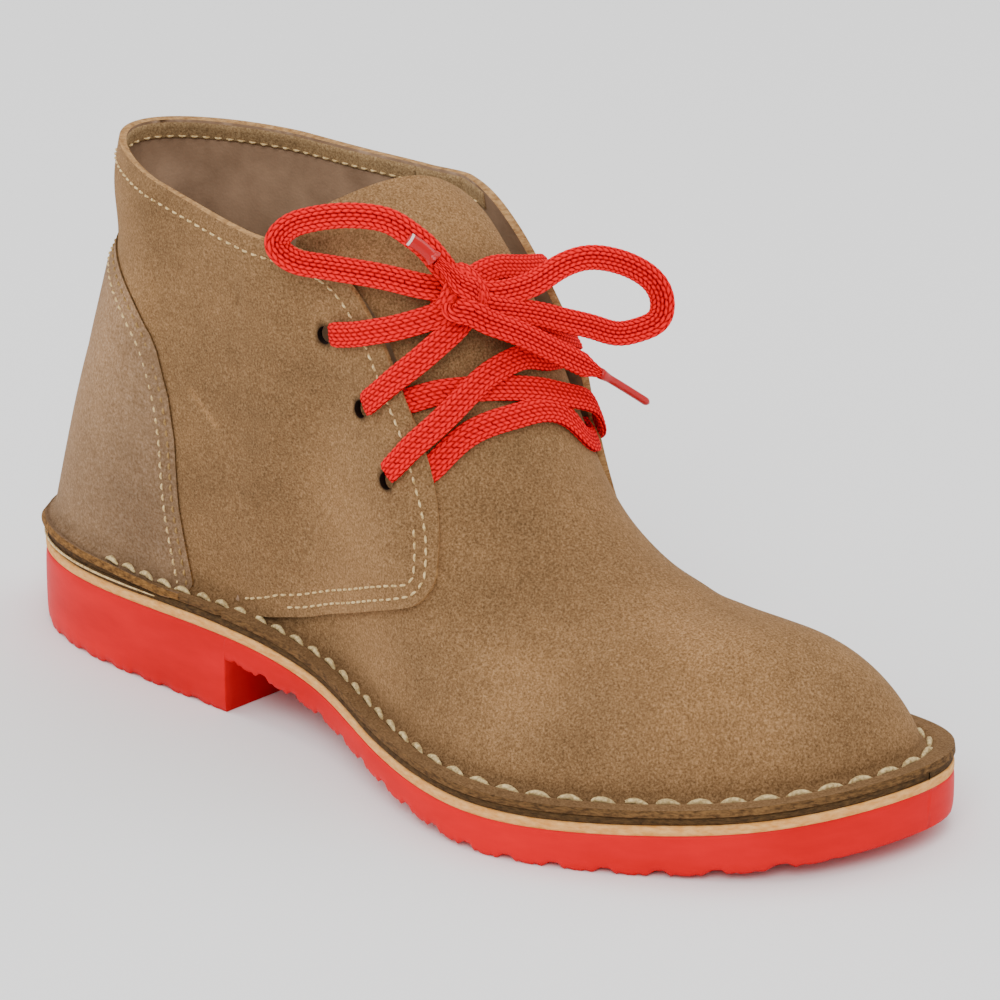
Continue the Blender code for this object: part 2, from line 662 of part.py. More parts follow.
def through(points, count):
    """A smooth curve through hand-set points, read at evenly spaced places."""
    points = np.array(points, float)
    knots = np.concatenate([[0], np.cumsum(np.linalg.norm(np.diff(points, axis=0), axis=1))])
    fine = spline(knots, points, np.linspace(0, knots[-1], 400))
    walked = np.concatenate([[0], np.cumsum(np.linalg.norm(np.diff(fine, axis=0), axis=1))])
    places = np.linspace(0, walked[-1], count)
    return np.stack([np.interp(places, walked, fine[:, k]) for k in range(3)], -1)


def foot_normal(point):
    """Outward direction of the vamp's form nearest below a point of a strand."""
    x, y, _ = point
    ridge_y = float(np.interp(x, *np.transpose(RIDGE_Y)))
    side = LATERAL if y < ridge_y else MEDIAL
    rho = min(abs((y - ridge_y) / (float(feather_y(side, x)) - ridge_y)), 0.93)
    here = vamp_point(side, np.float64(x), rho)
    ahead = vamp_point(side, np.float64(x + 1), rho) - here
    down = vamp_point(side, np.float64(x), rho + 0.02) - here
    normal = np.cross(ahead, down) * -side
    return normal / np.linalg.norm(normal)


def strand(name, route, surface, home):
    """A flat run of lace along a route, with its flat side on the foot."""
    path = through(route, 15)
    heading = np.gradient(path, axis=0)
    heading /= np.linalg.norm(heading, axis=1)[:, None]
    wide, thick = LACE_WIDTH / 2, LACE_THICK / 2
    section = ((wide, 0.4 * thick), (0.8 * wide, thick), (-0.8 * wide, thick),
               (-wide, 0.4 * thick), (-wide, -0.4 * thick), (-0.8 * wide, -thick),
               (0.8 * wide, -thick), (wide, -0.4 * thick))
    points, faces = [], []
    for place, along in zip(path, heading):
        normal = foot_normal(place)
        across = np.cross(normal, along)
        across /= np.linalg.norm(across)
        normal = np.cross(along, across)
        points += [place + across * u + normal * v for u, v in section]
    sides = len(section)
    for k in range(len(path) - 1):
        for j in range(sides):
            a, b = k * sides + j, k * sides + (j + 1) % sides
            faces.append([a, b, b + sides, a + sides])
    faces.append(list(range(sides))[::-1])
    faces.append([len(points) - sides + j for j in range(sides)])
    return mesh_object(name, points, faces, surface, home)


def strands(name, routes, surface, home, cutters):
    """Crossing strands united into one solid."""
    first = strand(name, routes[0], surface, home)
    for route in routes[1:]:
        boolean(first, strand("strand", route, surface, cutters), "UNION")
    return first


def tube(name, route, width, count, surface, home):
    """A round tube along a smooth curve through hand-set points."""
    curve = bpy.data.curves.new(name, "CURVE")
    curve.dimensions = "3D"
    curve.bevel_depth = width / 2 * MM
    curve.bevel_resolution = 2
    curve.use_fill_caps = True
    line = curve.splines.new("POLY")
    path = through(route, count)
    line.points.add(len(path) - 1)
    for point, place in zip(line.points, path):
        point.co = (*shared_origin(place), 1.0)
    curve.materials.append(surface)
    made = bpy.data.objects.new(name, curve)
    home.objects.link(made)
    return made


def build_lace(surfaces, home, cutters):
    """Crossings, knot, the two loops of the bow, and its two ends with their aglets."""
    lace, aglet = surfaces["lace"], surfaces["aglet"]
    strands("lace_lower", LOWER_STRANDS, lace, home, cutters)
    strands("lace_upper", UPPER_STRANDS, lace, home, cutters)
    bpy.ops.mesh.primitive_uv_sphere_add(segments=20, ring_count=12, radius=MM,
                                         location=shared_origin(KNOT_CENTRE))
    knot = bpy.context.active_object
    knot.name = "lace_knot"
    knot.scale = KNOT_RADII
    bpy.ops.object.transform_apply(location=False, rotation=False, scale=True)
    knot.rotation_euler.y = math.radians(KNOT_TILT)
    knot.data.materials.append(lace)
    for holder in list(knot.users_collection):
        holder.objects.unlink(knot)
    home.objects.link(knot)
    tube("bow_loop_outer", LEFT_LOOP, LACE_TUBE, 26, lace, home)
    tube("bow_loop_inner", RIGHT_LOOP, LACE_TUBE, 26, lace, home)
    tube("lace_end_outer", END_A, LACE_TUBE, 4, lace, home)
    tube("lace_end_inner", END_B, LACE_TUBE, 10, lace, home)
    tube("aglet_outer", AGLET_A, AGLET_TUBE, 6, aglet, home)
    tube("aglet_inner", AGLET_B, AGLET_TUBE, 6, aglet, home)


def build_upper(surface, home, cutters):
    """Vamp, quarters and counter as one hollow leather solid with its six eyelets."""
    quarters, vamp, counter = quarter_grid(), vamp_grid(), counter_grid()
    upper = sheet("upper", quarters, quarter_walls(quarters), 0.0, True, surface, home)
    vamp_walls = np.full(vamp.shape[:2], LEATHER)
    vamp_walls[:, :3] = FLANGE
    lower = sheet("vamp", vamp, vamp_walls, 0.0, False, surface, cutters)
    back_walls = np.full(counter.shape[:2], OVERLAY + LOCK)
    back = sheet("counter", counter, back_walls, OVERLAY, True, surface, cutters)
    boolean(upper, lower, "UNION")
    boolean(upper, back, "UNION")
    drop_slivers(upper)
    for side in (LATERAL, MEDIAL):
        for x, z in EYELETS:
            boolean(upper, eyelet_cutter(side, x, z, surface, cutters), "DIFFERENCE")
    return upper


def build_sole(surfaces, home):
    """Rubber, midsole and runner, one above another with a running gap between them."""
    stations = sole_stations()
    xs = np.array([x for x, _ in stations])
    low = [ground(x) + depth for x, depth in stations]
    layer("outsole", xs, low, column(RUBBER_TOP, 1, xs), EDGE, surfaces["rubber"], home)
    xs = layer_stations(0.0, float(EDGE[:, 0].max()))
    rise = column(RUBBER_TOP, 1, xs) + GAP
    layer("midsole", xs, rise, rise + MIDSOLE, EDGE, surfaces["midsole"], home)
    rise = rise + MIDSOLE + GAP
    layer("runner", xs, rise, rise + RUNNER, EDGE, surfaces["runner"], home)
    ring = inner_ring(lambda x: column(FLANGE_WIDTH, 1, x) + 3.7 + 1.4 * (x < HEEL_X))
    xs = layer_stations(float(ring[:, 0].min()), float(ring[:, 0].max()))
    rise = welt_top(xs)
    layer("insole", xs, rise, rise + INSOLE, ring, surfaces["insole"], home)


def main():
    for thing in list(bpy.data.objects):
        bpy.data.objects.remove(thing, do_unlink=True)
    home = bpy.data.collections.new("vellie_shoe")
    cutters = bpy.data.collections.new("cutters")
    bpy.context.scene.collection.children.link(home)
    bpy.context.scene.collection.children.link(cutters)
    surfaces = {name: material(name, colour, roughness) for name, colour, roughness in SURFACES}
    build_sole(surfaces, home)
    build_upper(surfaces["suede"], home, cutters)
    tongue = tongue_grid()
    tongue_walls = np.full(tongue.shape[:2], TONGUE_WALL)
    sheet("tongue", tongue, tongue_walls, 0.0, True, surfaces["suede"], home)
    build_lace(surfaces, home, cutters)


if __name__ == "__main__":
    main()
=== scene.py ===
"""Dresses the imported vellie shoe: suede panels with their cut edges, seams and welt stitching,
a layered leather welt, a moulded rubber sole, and a flat braided lace tied in a bow.

The file is laid out as a Blender add-on and is run as a script.  Shapes are worked out in
millimetres, x from the back of the heel and y from the heel's axis, and place() brings them
into the frame's metres.
"""
import math

import bmesh
import bpy
import numpy as np
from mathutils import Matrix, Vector


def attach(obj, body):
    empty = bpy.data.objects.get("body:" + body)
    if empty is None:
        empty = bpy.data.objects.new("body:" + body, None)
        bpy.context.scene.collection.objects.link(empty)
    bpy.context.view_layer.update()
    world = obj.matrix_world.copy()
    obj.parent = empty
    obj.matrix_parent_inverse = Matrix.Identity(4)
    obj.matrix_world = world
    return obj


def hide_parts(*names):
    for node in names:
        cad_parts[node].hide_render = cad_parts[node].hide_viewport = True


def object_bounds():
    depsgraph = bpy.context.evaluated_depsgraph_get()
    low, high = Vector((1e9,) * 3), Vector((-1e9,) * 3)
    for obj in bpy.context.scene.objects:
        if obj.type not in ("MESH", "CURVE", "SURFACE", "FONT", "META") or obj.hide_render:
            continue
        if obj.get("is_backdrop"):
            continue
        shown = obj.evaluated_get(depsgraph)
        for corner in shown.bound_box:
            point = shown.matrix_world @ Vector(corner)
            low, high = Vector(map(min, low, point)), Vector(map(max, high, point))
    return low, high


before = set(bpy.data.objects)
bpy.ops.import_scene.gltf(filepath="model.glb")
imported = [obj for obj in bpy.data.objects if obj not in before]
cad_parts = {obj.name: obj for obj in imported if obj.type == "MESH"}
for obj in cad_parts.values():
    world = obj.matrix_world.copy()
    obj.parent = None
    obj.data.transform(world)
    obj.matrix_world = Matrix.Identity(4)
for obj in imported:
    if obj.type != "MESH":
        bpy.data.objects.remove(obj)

bl_info = {
    "name": "Vellie shoe",
    "version": (1, 0, 0),
    "blender": (4, 5, 0),
    "location": "View3D > Sidebar > Vellie shoe",
    "description": "Builds a suede vellie with a stitched welt, a rubber sole and a tied lace",
    "category": "Add Mesh",
}

CAD_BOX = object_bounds()
MM = 0.001
LATERAL = -1                  # outer side of a right shoe, towards -Y
MEDIAL = 1
SIDES = {LATERAL: "outer", MEDIAL: "inner"}

# ---------------------------------------------------------------------------- the last's form

# Edge of the sole seen from above, round from the heel by the outer side: x, y.
SOLE_EDGE = (
    (0, 0), (7, -21), (28, -33), (60, -35.8), (100, -34.6), (124, -35), (149, -42.7),
    (181, -50.5), (205, -47.4), (233, -32), (259, -10), (271.5, 18),
    (270, 38), (255, 51), (228, 55.5), (197, 54.5), (160, 44), (122, 31), (92, 29.5),
    (60, 34), (28, 33.5), (7, 21),
)
# Top of the rubber along the sole: x, height.
RUBBER_TOP = ((-5, 21), (60, 21), (88, 21), (105, 19.6), (120, 17.0), (138, 14.2), (155, 12.0),
              (175, 10.5), (195, 9.8), (215, 9.8), (235, 10.8), (255, 13.0), (272, 16.0))
GAP = 0.3
MIDSOLE = 2.2
RUNNER = 1.8
INSOLE = 2.4
FLANGE = 1.8
BREAST = 91.0                 # front face of the heel
ARCH_RISE = 14.4
BALL_FLAT = (198.0, 224.0)
TOE_SPRING = 5.6
TOE_END = 272.0
RIB_PITCH = 11.0
RIB_DEPTH = 1.5
RIB_GROOVE = (5.4, 8.9, 1.6)  # a groove starts and ends here after each rib, over this run
KNURL_PITCH, KNURL = 3.67, 0.35
END_RUN = 30.0                # length at either end over which the sections close up
# How far the wall of the upper stands in from the edge of the sole: x, inset.
FLANGE_WIDTH = ((-5, 2.5), (20, 4.0), (60, 5.5), (120, 6.5), (180, 7.0), (272, 8.0))
# Vamp and tongue: x, height of the ridge, and the powers that shape the section.
VAMP = (
    # x, ridge, side power, top power
    (98, 172, 4.2, 2.4), (123, 147, 4.2, 2.4), (131, 140.5, 4.1, 2.3), (139, 132.5, 3.8, 2.1),
    (150, 119, 3.2, 1.75), (160, 103, 2.5, 1.45), (168, 88, 2.1, 1.33), (176, 75.5, 1.93, 1.28),
    (184, 67, 1.87, 1.26), (192, 61, 1.87, 1.25), (200, 57, 1.95, 1.26), (210, 53.5, 2.1, 1.28),
    (222, 51.6, 2.25, 1.32), (235, 51.4, 2.35, 1.35), (250, 50.5, 2.45, 1.38), (272, 46, 2.5, 1.4),
)
TOE_POLE = (226.0, 8.0)
RIDGE_Y = ((98, 0), (172, 1.5), (226, 8.0), (272, 8.0))
# Ankle: height, x of the back, half widths at x = 60, 100 and 130, squareness of the heel.
ANKLE = (
    # z, back, at 60, outer at 100, inner at 100, outer at 130, inner at 130, power
    (50, 9.5, 31.5, 31.5, 29.0, 32.0, 30.5, 2.35),
    (75, 16.2, 31.0, 32.0, 31.0, 33.0, 32.0, 2.05),
    (100, 23.3, 29.0, 31.5, 31.5, 32.0, 31.5, 1.65),
    (112, 25.2, 28.3, 31.5, 31.5, 31.5, 31.0, 1.45),
    (124, 22.9, 28.4, 31.8, 31.8, 31.0, 31.0, 1.3),
    (137, 24.0, 26.4, 32.0, 32.0, 31.0, 31.0, 1.15),
)
HEEL_X = 60.0
HEEL_POWER = 2.6
# The quarters' outline from the side: upper edge on either side, and lower edge.
TOPLINE = (
    # x, outer, inner
    (24, 136, 136), (50, 134.5, 135), (80, 132, 133.5), (100, 130, 133.5), (114, 128.8, 133.6),
    (122, 126.3, 133.8), (128, 123, 132.7), (134, 118, 129.3), (140, 112, 121.3),
    (146, 104.4, 109.8), (152, 95.6, 97.5), (157, 86, 87), (161, 76.2, 76.5), (164, 65.5, 66),
    (165.2, 57.5, 57.5),
)
BOTTOM_LINE = ((93, 27), (98, 27.4), (103, 28.4), (108, 29.8), (113.4, 31.3), (125, 35.8), (137, 40.6),
               (146.6, 44.7), (157.6, 48.9), (161.4, 50.8), (163.8, 53.6), (165.2, 57))
QUARTER_FRONT = 165.1
CLOSE_FROM = 150.0            # from this x on the quarters' columns close up
COUNTER_LINE = ((24, 110), (31, 109), (43, 105), (56, 98), (63, 90))
COUNTER_FRONT = ((75, 22), (75, 26), (71.5, 50), (70.5, 68), (68, 79), (63, 90))
EYELETS = {LATERAL: ((123, 108.9), (136.2, 93.3), (147.9, 78.5)),
           MEDIAL: ((126.4, 110.8), (138.2, 95.6), (148, 79.6))}
EYELET_HOLE = 4.5
# Each row of the vamp runs from a foot x to a ridge x.
VAMP_RUNS = ((90, 160), (97, 161.2), (104, 162.5), (118, 166), (133, 170.5), (149, 176.5), (166, 184),
             (184, 194.5), (203, 207), (216, 217.5))
TONGUE_REACH = ((0, 0.74), (0.16, 0.745), (0.33, 0.75), (0.5, 0.75), (0.66, 0.74), (0.82, 0.72),
                (1, 0.70))
TONGUE_TIP = 124.5
# The tongue's upper edge from its outer corner to its inner one: share, x, y, height.
TONGUE_EDGE = ((-1, 108.5, -25, 126), (-0.82, 110.2, -23.5, 134), (-0.6, 114.3, -18.5, 138.6),
               (-0.32, 118.7, -9.5, 141.7), (0, 122.6, 0.5, 142.9), (0.3, 125.3, 8, 141.3),
               (0.6, 128.1, 14.5, 137), (0.82, 130.8, 18, 132), (1, 132.4, 19, 126.5))
LEAVE_ANKLE = 96.0            # x where the quarters start to leave the ankle for the vamp
REACH_VAMP = 40.0             # how far in front of it they have reached the vamp
LAP_RUN = 20.0                # lap over the vamp by which they lie on it
FLOOR_DROP = 14.0             # until then they keep above a floor that rises to the vamp
FLOOR_RISE = 20.0
FLOOR_SOFT = 3.0

# Leather as it is cut, and where its pieces lie.
SUEDE_WALL = 1.9
EASED_EDGE = 0.45
OVERLAY = 1.9                 # a piece that laps another lies this far above it
TONGUE_LIFT = 1.1
FLAP_STANDOFF = 5.2           # how far the inner flap stands open round the tongue
FLAP_OPENS = (60.0, 40.0, 98.0, 16.0)   # it opens from this height and x, over these runs
VAMP_TUCK = 0.8               # the vamp's rear is tucked this far in under the quarters
FREE_FROM = 96.0              # from this x on the quarters' lower edge isn't turned out
FREE_HANG = 1.2               # it hangs this far below the first row of the wall
EYELET_CORE = 0.92            # share of the hole in which the sheet's faces are taken out
EYELET_REACH = 6.0            # and how far from its centre they are looked for
BEND = 2.0                    # radius of the upper's turned-out foot
STITCH_INSET = 2.0            # welt stitches lie this far out from the wall
# The foot's surface across: place out from the wall, rise or dip, and width of each.
FOOT_WAVES = ((STITCH_INSET, -0.8, 1.0), (4.6, 0.25, 1.2))
COUNTER_FOOT = 1.5            # the counter's foot lies this far above the quarter's at the back
COUNTER_PARED = 0.15          # and this far at its front
COUNTER_RIM = 0.15            # its rim stands this far out from the quarter's
COLLAR_BAND = 0.5             # thickness of the strip inside the collar
# The strip's section: how far below the topline, and how far in, in strip thicknesses.
COLLAR_DEPTHS = ((0.7, 0), (0.9, 1.25), (2.2, 1.4), (3.6, 1.4), (4.8, 1.3), (5.3, 1.1), (5.5, 0))
# Heights at which stations round the heel are read: topline, counter's top and foot, quarter's foot.
TOP_LEVEL, COUNTER_LEVEL, COUNTER_BASE, FOOT_LEVEL = 134.0, 105.0, 30.0, 28.0
# Rows of the sheets: along the flat foot, round its bend, up the quarters and up the vamp.
FOOT_FLAT, FOOT_BEND, QUARTER_ROWS, VAMP_ROWS = 12, 7, 84, 72
FOOT_ROWS = FOOT_FLAT + FOOT_BEND

# Sewn rows: pitch, share of it that shows, and radius of the thread.
SEAM, TOP_SEAM, COUNTER_SEAM = (2.9, 0.72, 0.36), (3.1, 0.66, 0.34), (2.9, 0.7, 0.34)
WELT_WAIST, WELT_FRONT = (6.3, 0.86, 0.78), (7.8, 0.86, 0.78)
STITCH_RINGS, STITCH_ROUND = 7, 6
# Where the quarter's second row starts, behind its free edge: station, height.
SEAM_START = ((92.5, 30.3), (97.5, 32.1), (102.5, 33.9))
TOPLINE_INSET = 4.6           # the topline's row is sewn this far below it
WELT_START = 44.0             # the welt stitch starts this far forward on either side
WELT_BALL = 172.0             # in front of this x it has the forefoot's pitch
COUNTER_OVER = 78.0           # behind this x it runs over the counter's foot
WELT_LIFT, WELT_SLANT = 0.2, 0.12

# Wear and painted shade.  The suede's tone is 0.5 as it is new, higher where it is rubbed pale, and lower
# where it is worn darker, where dirt darkens it and where shade is painted on it.
# Brushed and rubbed places of the suede: x, y, z, radius, and how much lighter or darker.
RUBBED = ((236, -14, 46, 26, 0.16), (196, -36, 44, 13, 0.20), (178, -20, 68, 26, -0.10),
          (214, -38, 34, 16, -0.16), (222, 22, 48, 22, -0.10), (140, -36, 50, 16, 0.12),
          (110, -32, 96, 26, -0.10), (86, -32, 60, 22, -0.12), (122, -32, 74, 16, 0.10),
          (60, -30, 122, 20, -0.10), (48, -30, 96, 16, 0.12), (30, -20, 70, 18, 0.14),
          (58, -32, 42, 12, -0.14), (140, -10, 136, 20, 0.12), (150, -12, 112, 12, -0.18),
          (262, 10, 36, 14, -0.12))
SCRATCH = ((76, -30.5, 83), (86, -31.5, 76))
# Darkening at the foot of the wall, partly dirt and partly painted shade in its corner with the welt: how
# dark, the height up to which it is full, and its fade.
FOOT_SHADE_AND_DIRT = ((0.12, 0.0, 7.0), (0.12, 0.2, 2.0))
COUNTER_FOOT_SHADE, COUNTER_FOOT_SHADE_X = (0.12, 0.1, 0.4), 72.0   # painted shade, made the same way, under the counter's foot behind this x
SCRATCH_PALE, SCRATCH_WIDE = 0.3, 0.9
RIM_CLEAR, RIM_FADE = 0.1, 0.7                # dark rims of painted shade round the eyelet holes: where they start to fade
EDGE_LOW_FADE = (0.03, 0.05)        # heights in metres between which the edges' colours near the sole fade into those above
# Soft troughs where the leather bends in wear: two ends, width and depth.
CREASES = (((197, -38, 36), (206, -20, 54), 4.5, 0.5), ((181, -38, 44), (190, -18, 64), 5, 0.45),
           ((199, 38, 36), (208, 24, 52), 4.5, 0.5), ((26, -28, 78), (54, -33, 70), 5, 0.4))

# ------------------------------------------------------------------------------------- lace

LACE_WIDTH = 6.2
LACE_THICK = 1.7
BRAID_COLUMN = 1.05           # width of one column of stitches
BRAID_STITCH = 1.9            # length of one stitch
BRAID_SLANT = 0.55            # how far a stitch slants across its column
BRAID_MEAN = 0.6              # the relief that lies on the lace's own section
BRAID_HIGH, BRAID_WIDE = 0.3, 0.05    # how much the relief swells its height and its width
RIBBON_STEP, RIBBON_ROUND = 0.29, 60
# Routes of the lace: crossings in order from the toe up, then the bow.
BAR = ((152.6, -28.2, 77.2), (155.2, -28.3, 79.9), (158, -26.8, 83), (160.3, -24.2, 86.7),
       (162.4, -19.2, 90.5), (164.5, -13.2, 92.4), (166.1, -6.6, 92.9), (167, 1, 92.7), (167.5, 8.7, 90),
       (168, 12.8, 86.3), (167.5, 18, 81), (163.5, 25, 78), (157, 29, 78))
CROSS_LOW = ((148.1, -30.2, 79.9), (148.5, -32.4, 80.6), (149.4, -33.5, 81.4), (151.8, -32.6, 84.4),
             (154.2, -31, 87.8), (158.2, -27, 93.1), (160.9, -19.8, 99.2), (161.7, -12.5, 103.4),
             (161.8, -5.3, 105), (161.4, 2.5, 104.8), (160.8, 8.7, 102.6), (158.5, 15, 100.5),
             (155, 21.5, 98.5), (150, 26.5, 97.5))
CROSS_HIGH = ((144.2, -28, 95), (147.2, -27.4, 96.8), (150.3, -26.2, 98.3), (155.3, -22.1, 100.4),
              (158.6, -17.3, 100.7), (161.7, -10.3, 100.1), (163.8, -2.1, 98.4), (165.2, 6.8, 95.6),
              (165.4, 14.5, 92), (164.4, 20.8, 88.2), (162.8, 24.8, 84), (160.8, 28, 80),
              (158, 30.2, 77.6), (154.8, 31.8, 77), (151.4, 32.6, 77.7), (149, 32, 79), (148, 29.2, 79.6))
TOP_OUTER = ((124.8, -26.6, 109.3), (125.4, -28.8, 109.8), (127.4, -29.9, 110.4), (130.4, -29.8, 111.1),
             (135.2, -29.5, 112.4), (139.5, -28.5, 113.8), (143.1, -26.9, 114.9), (148.8, -22.5, 117.1),
             (151.7, -18.3, 118.6), (152.8, -14.4, 120.1), (152.6, -10.5, 121))
MID_OUTER = ((138, -27.8, 94.5), (138.4, -30, 95.1), (139.7, -31.3, 96), (143.4, -31.6, 99.1),
             (146.3, -30.3, 102.2), (151.6, -25.4, 108.3), (154.5, -19.1, 113.4), (155.2, -13.8, 116.8),
             (153.8, -9.8, 119.4))
MID_INNER = ((151.5, -11, 120), (154.5, -4, 117), (158, 4, 113), (158.6, 11.5, 109.3), (156, 19, 104.6),
             (150, 28, 99), (143.5, 32.5, 96.7), (139.6, 33.2, 96), (138.2, 30.5, 95.6))
TOP_INNER = ((153, -10.5, 124.3), (151.5, -5, 125), (151, 2, 125.4), (150.5, 8.5, 124),
             (149.3, 15.5, 121.7), (146, 22.5, 119), (141, 27.5, 115.5), (134.5, 31, 112.5),
             (130, 31.4, 111.6), (127.4, 31.4, 111), (126.4, 28.6, 110.8))
LEFT_LOOP = ((151.5, -11, 122), (150, -15.5, 124), (147.5, -19, 125), (143.5, -22, 126),
             (137, -25.5, 127), (130, -29, 127.5), (122.5, -31.5, 127.5), (116, -34, 128.5),
             (113, -35, 131.5), (115, -34, 135.5), (120, -32, 138.5), (127, -28.5, 140.5),
             (134, -24.5, 141), (139, -21.5, 140), (143.5, -19.5, 137.5), (147, -17.5, 134.5),
             (150.5, -16, 130.5), (153, -13.5, 126))
LEFT_WRAP = ((155.5, -12, 123.5), (156.5, -10.5, 122.5), (158, -12.5, 124.5))
END_A = ((157, -16, 127), (155.5, -18.5, 130.5), (153.5, -21, 133.5))
AGLET_A = ((153.3, -21.2, 133.8), (151, -23.2, 136.8), (148.6, -25.5, 139.2))
RIGHT_LOOP = ((153.5, -10.5, 122.5), (156.5, -6, 122), (158, 0.5, 121.5), (159, 8, 122),
              (159.5, 15.5, 124), (161, 23.5, 125), (162.5, 31.5, 123), (164, 38.5, 119.5),
              (166, 43.5, 115), (167, 45.5, 110), (167, 44.5, 105.5), (165.5, 39.5, 103.5),
              (164.5, 32, 104), (164, 24, 107.5), (162.5, 14.5, 111.5), (161, 6, 115), (159.5, -3, 118),
              (157.5, -9.5, 120.5))
RIGHT_WRAP = ((155.5, -12, 121.5), (155, -15, 121.5), (156.5, -17.5, 121))
END_B = ((159, -16, 120.5), (161, -12, 118), (164, -4, 113.5), (166, 4, 108.5), (167, 13.5, 102.5),
         (167, 22.6, 96.8))
AGLET_B = ((167, 23, 96.5), (167.5, 31, 90.8), (168.3, 39.5, 84.5))
AGLET_LOOSE, AGLET_TIGHT = 3.2, 2.1   # widths of the two sleeves
AGLET_RINGS, AGLET_ROUND = 40, 20
AGLET_GLINT_RINGS = range(34, 37)     # rings of the loose sleeve painted near-white, a painted glint near its tip
KNOT_CENTRE = (152.8, -11.3, 122.6)
KNOT_FACING = (0.78, -0.20, 0.59)   # outward from the foot where the knot sits
BOW_FACING = (0.65, -0.67, 0.37)
BOW_TWIST = 0.35
ROUTED_STANDOFF = 1.2         # the routes over the inner flap are set for a flap this far open
FLAP_ROUTES = (CROSS_HIGH, MID_INNER, TOP_INNER)
RUN_NARROW, END_NARROW = 0.7, 0.4     # share of the width where a run or an end is gathered
# Wraps of the knot: tilt, half depth, half height, shift along the axis, width.
KNOT_WRAPS = ((0.35, 4.3, 5.9, 1.0, 6.4), (-0.55, 3.7, 5.2, -3.4, 5.8))
KNOT_THICK, KNOT_STEP, KNOT_ROUND = 1.9, 0.33, 54


# ------------------------------------------------------------------------- working functions

def bends(knots, values):
    """Second derivatives at the knots of natural cubic splines, which run along the last axis."""
    count, step = knots.shape[-1], np.diff(knots, axis=-1)
    inner = np.arange(1, count - 1)
    band, load = np.zeros(knots.shape + (count,)), np.zeros(values.shape)
    band[..., 0, 0] = band[..., -1, -1] = 1
    band[..., inner, inner - 1] = step[..., :-1]
    band[..., inner, inner] = 2 * (step[..., :-1] + step[..., 1:])
    band[..., inner, inner + 1] = step[..., 1:]
    load[..., 1:-1] = 6 * np.diff(np.diff(values, axis=-1) / step, axis=-1)
    return np.linalg.solve(band, load[..., None])[..., 0]


def cubic(a, width, left, right, bend_left, bend_right):
    """A piece of a cubic spline, read where a is the share of its width still to go."""
    b = 1 - a
    return a * left + b * right + ((a ** 3 - a) * bend_left + (b ** 3 - b) * bend_right) * width ** 2 / 6


def spline(knots, values, at):
    """Natural cubic spline through the values at the knots, read at the given places; the
    values may be numbers or points."""
    knots, values, at = (np.asarray(a, float) for a in (knots, values, at))
    bend = bends(np.broadcast_to(knots, values.T.shape), values.T).T
    i = np.clip(np.searchsorted(knots, at, side="right") - 1, 0, len(knots) - 2)
    more = (...,) + (None,) * (values.ndim - 1)
    width = np.diff(knots)[i]
    a = ((knots[i + 1] - at) / width)[more]
    return cubic(a, width[more], values[i], values[i + 1], bend[i], bend[i + 1])


def spline_each(knots, values, at):
    """Natural cubic splines, one for each place: knots and values hold a row for each."""
    bend = bends(knots, values)
    i = np.clip((knots <= at[..., None]).sum(-1) - 1, 0, knots.shape[-1] - 2)[..., None]
    left, right, *ends = (np.take_along_axis(table, i + k, -1)[..., 0]
                          for table in (knots, values, bend) for k in (0, 1))
    return cubic((right - at) / (right - left), right - left, *ends)


def column(table, name, at):
    """One column of a table, splined along its first column."""
    return spline([row[0] for row in table], [row[name] for row in table], at)


def unit(vectors):
    """Vectors brought to length 1."""
    return vectors / np.linalg.norm(vectors, axis=-1, keepdims=True)


def direction(line):
    """The way a line runs at each of its points."""
    return unit(np.gradient(line, axis=0))


def left_of(along):
    """Flat directions turned a quarter turn to the left."""
    return np.stack([-along[:, 1], along[:, 0]], -1)


def square_to(vectors, along):
    """The part of directions that stands square to others, at length 1."""
    return unit(vectors - (vectors * along).sum(-1, keepdims=True) * along)


def off_line(points, start, end):
    """Distances of points from the straight piece between two ends."""
    way = np.subtract(end, start)
    share = np.clip((points - start) @ way / (way @ way), 0, 1)
    return np.linalg.norm(points - start - share[:, None] * way, axis=1)


def walked(line):
    """The way walked along a line up to each of its points."""
    return np.concatenate([[0], np.cumsum(np.linalg.norm(np.diff(line[:, :3], axis=0), axis=1))])


def relaxed(values, rounds):
    """Values, all but the ends averaged with their neighbours a number of times."""
    for _ in range(rounds):
        values[1:-1] = (values[:-2] + 2 * values[1:-1] + values[2:]) / 4
    return values


def smoothstep(t):
    """0 below 0, 1 above 1 and an even S between them."""
    t = np.clip(t, 0, 1)
    return t * t * (3 - 2 * t)


def smooth_max(a, b, softness):
    """The larger of two values, rounded where they are close."""
    return 0.5 * (a + b + np.sqrt((a - b) ** 2 + softness ** 2))


def sole_edge(samples=2400):
    """The closed edge of the sole, a spline through its table."""
    rows = np.array(SOLE_EDGE, float)
    wrap = 4
    ring = np.vstack([rows[-wrap:], rows, rows[:wrap + 1]])
    stride = np.sqrt(np.linalg.norm(np.diff(ring, axis=0), axis=1))
    knots = np.concatenate([[0], np.cumsum(stride)])
    return spline(knots, ring, np.linspace(knots[wrap], knots[wrap + len(rows)], samples, endpoint=False))


EDGE = sole_edge()
ORIGIN = np.array([*(EDGE.min(axis=0) + EDGE.max(axis=0)) / 2, 0.0])


def place(points):
    """Millimetres from the back of the heel, turned into the frame's metres."""
    return (np.asarray(points, float) - ORIGIN) * MM


def ring_y(ring, side, x):
    """y of a closed outline at x, on one side."""
    tip = int(ring[:, 0].argmax())
    half = ring[:tip + 1] if side == LATERAL else np.vstack([ring[tip:], ring[:1]])
    order = np.argsort(half[:, 0])
    return np.interp(x, half[order, 0], half[order, 1])


def edge_y(side, x):
    """y of the sole's edge at x, on one side."""
    return ring_y(EDGE, side, x)


def inner_ring(inset):
    """The sole's edge moved inward by an inset that changes along x."""
    along = unit(np.roll(EDGE, -5, axis=0) - np.roll(EDGE, 5, axis=0))
    return EDGE + left_of(along) * inset(EDGE[:, 0])[:, None]


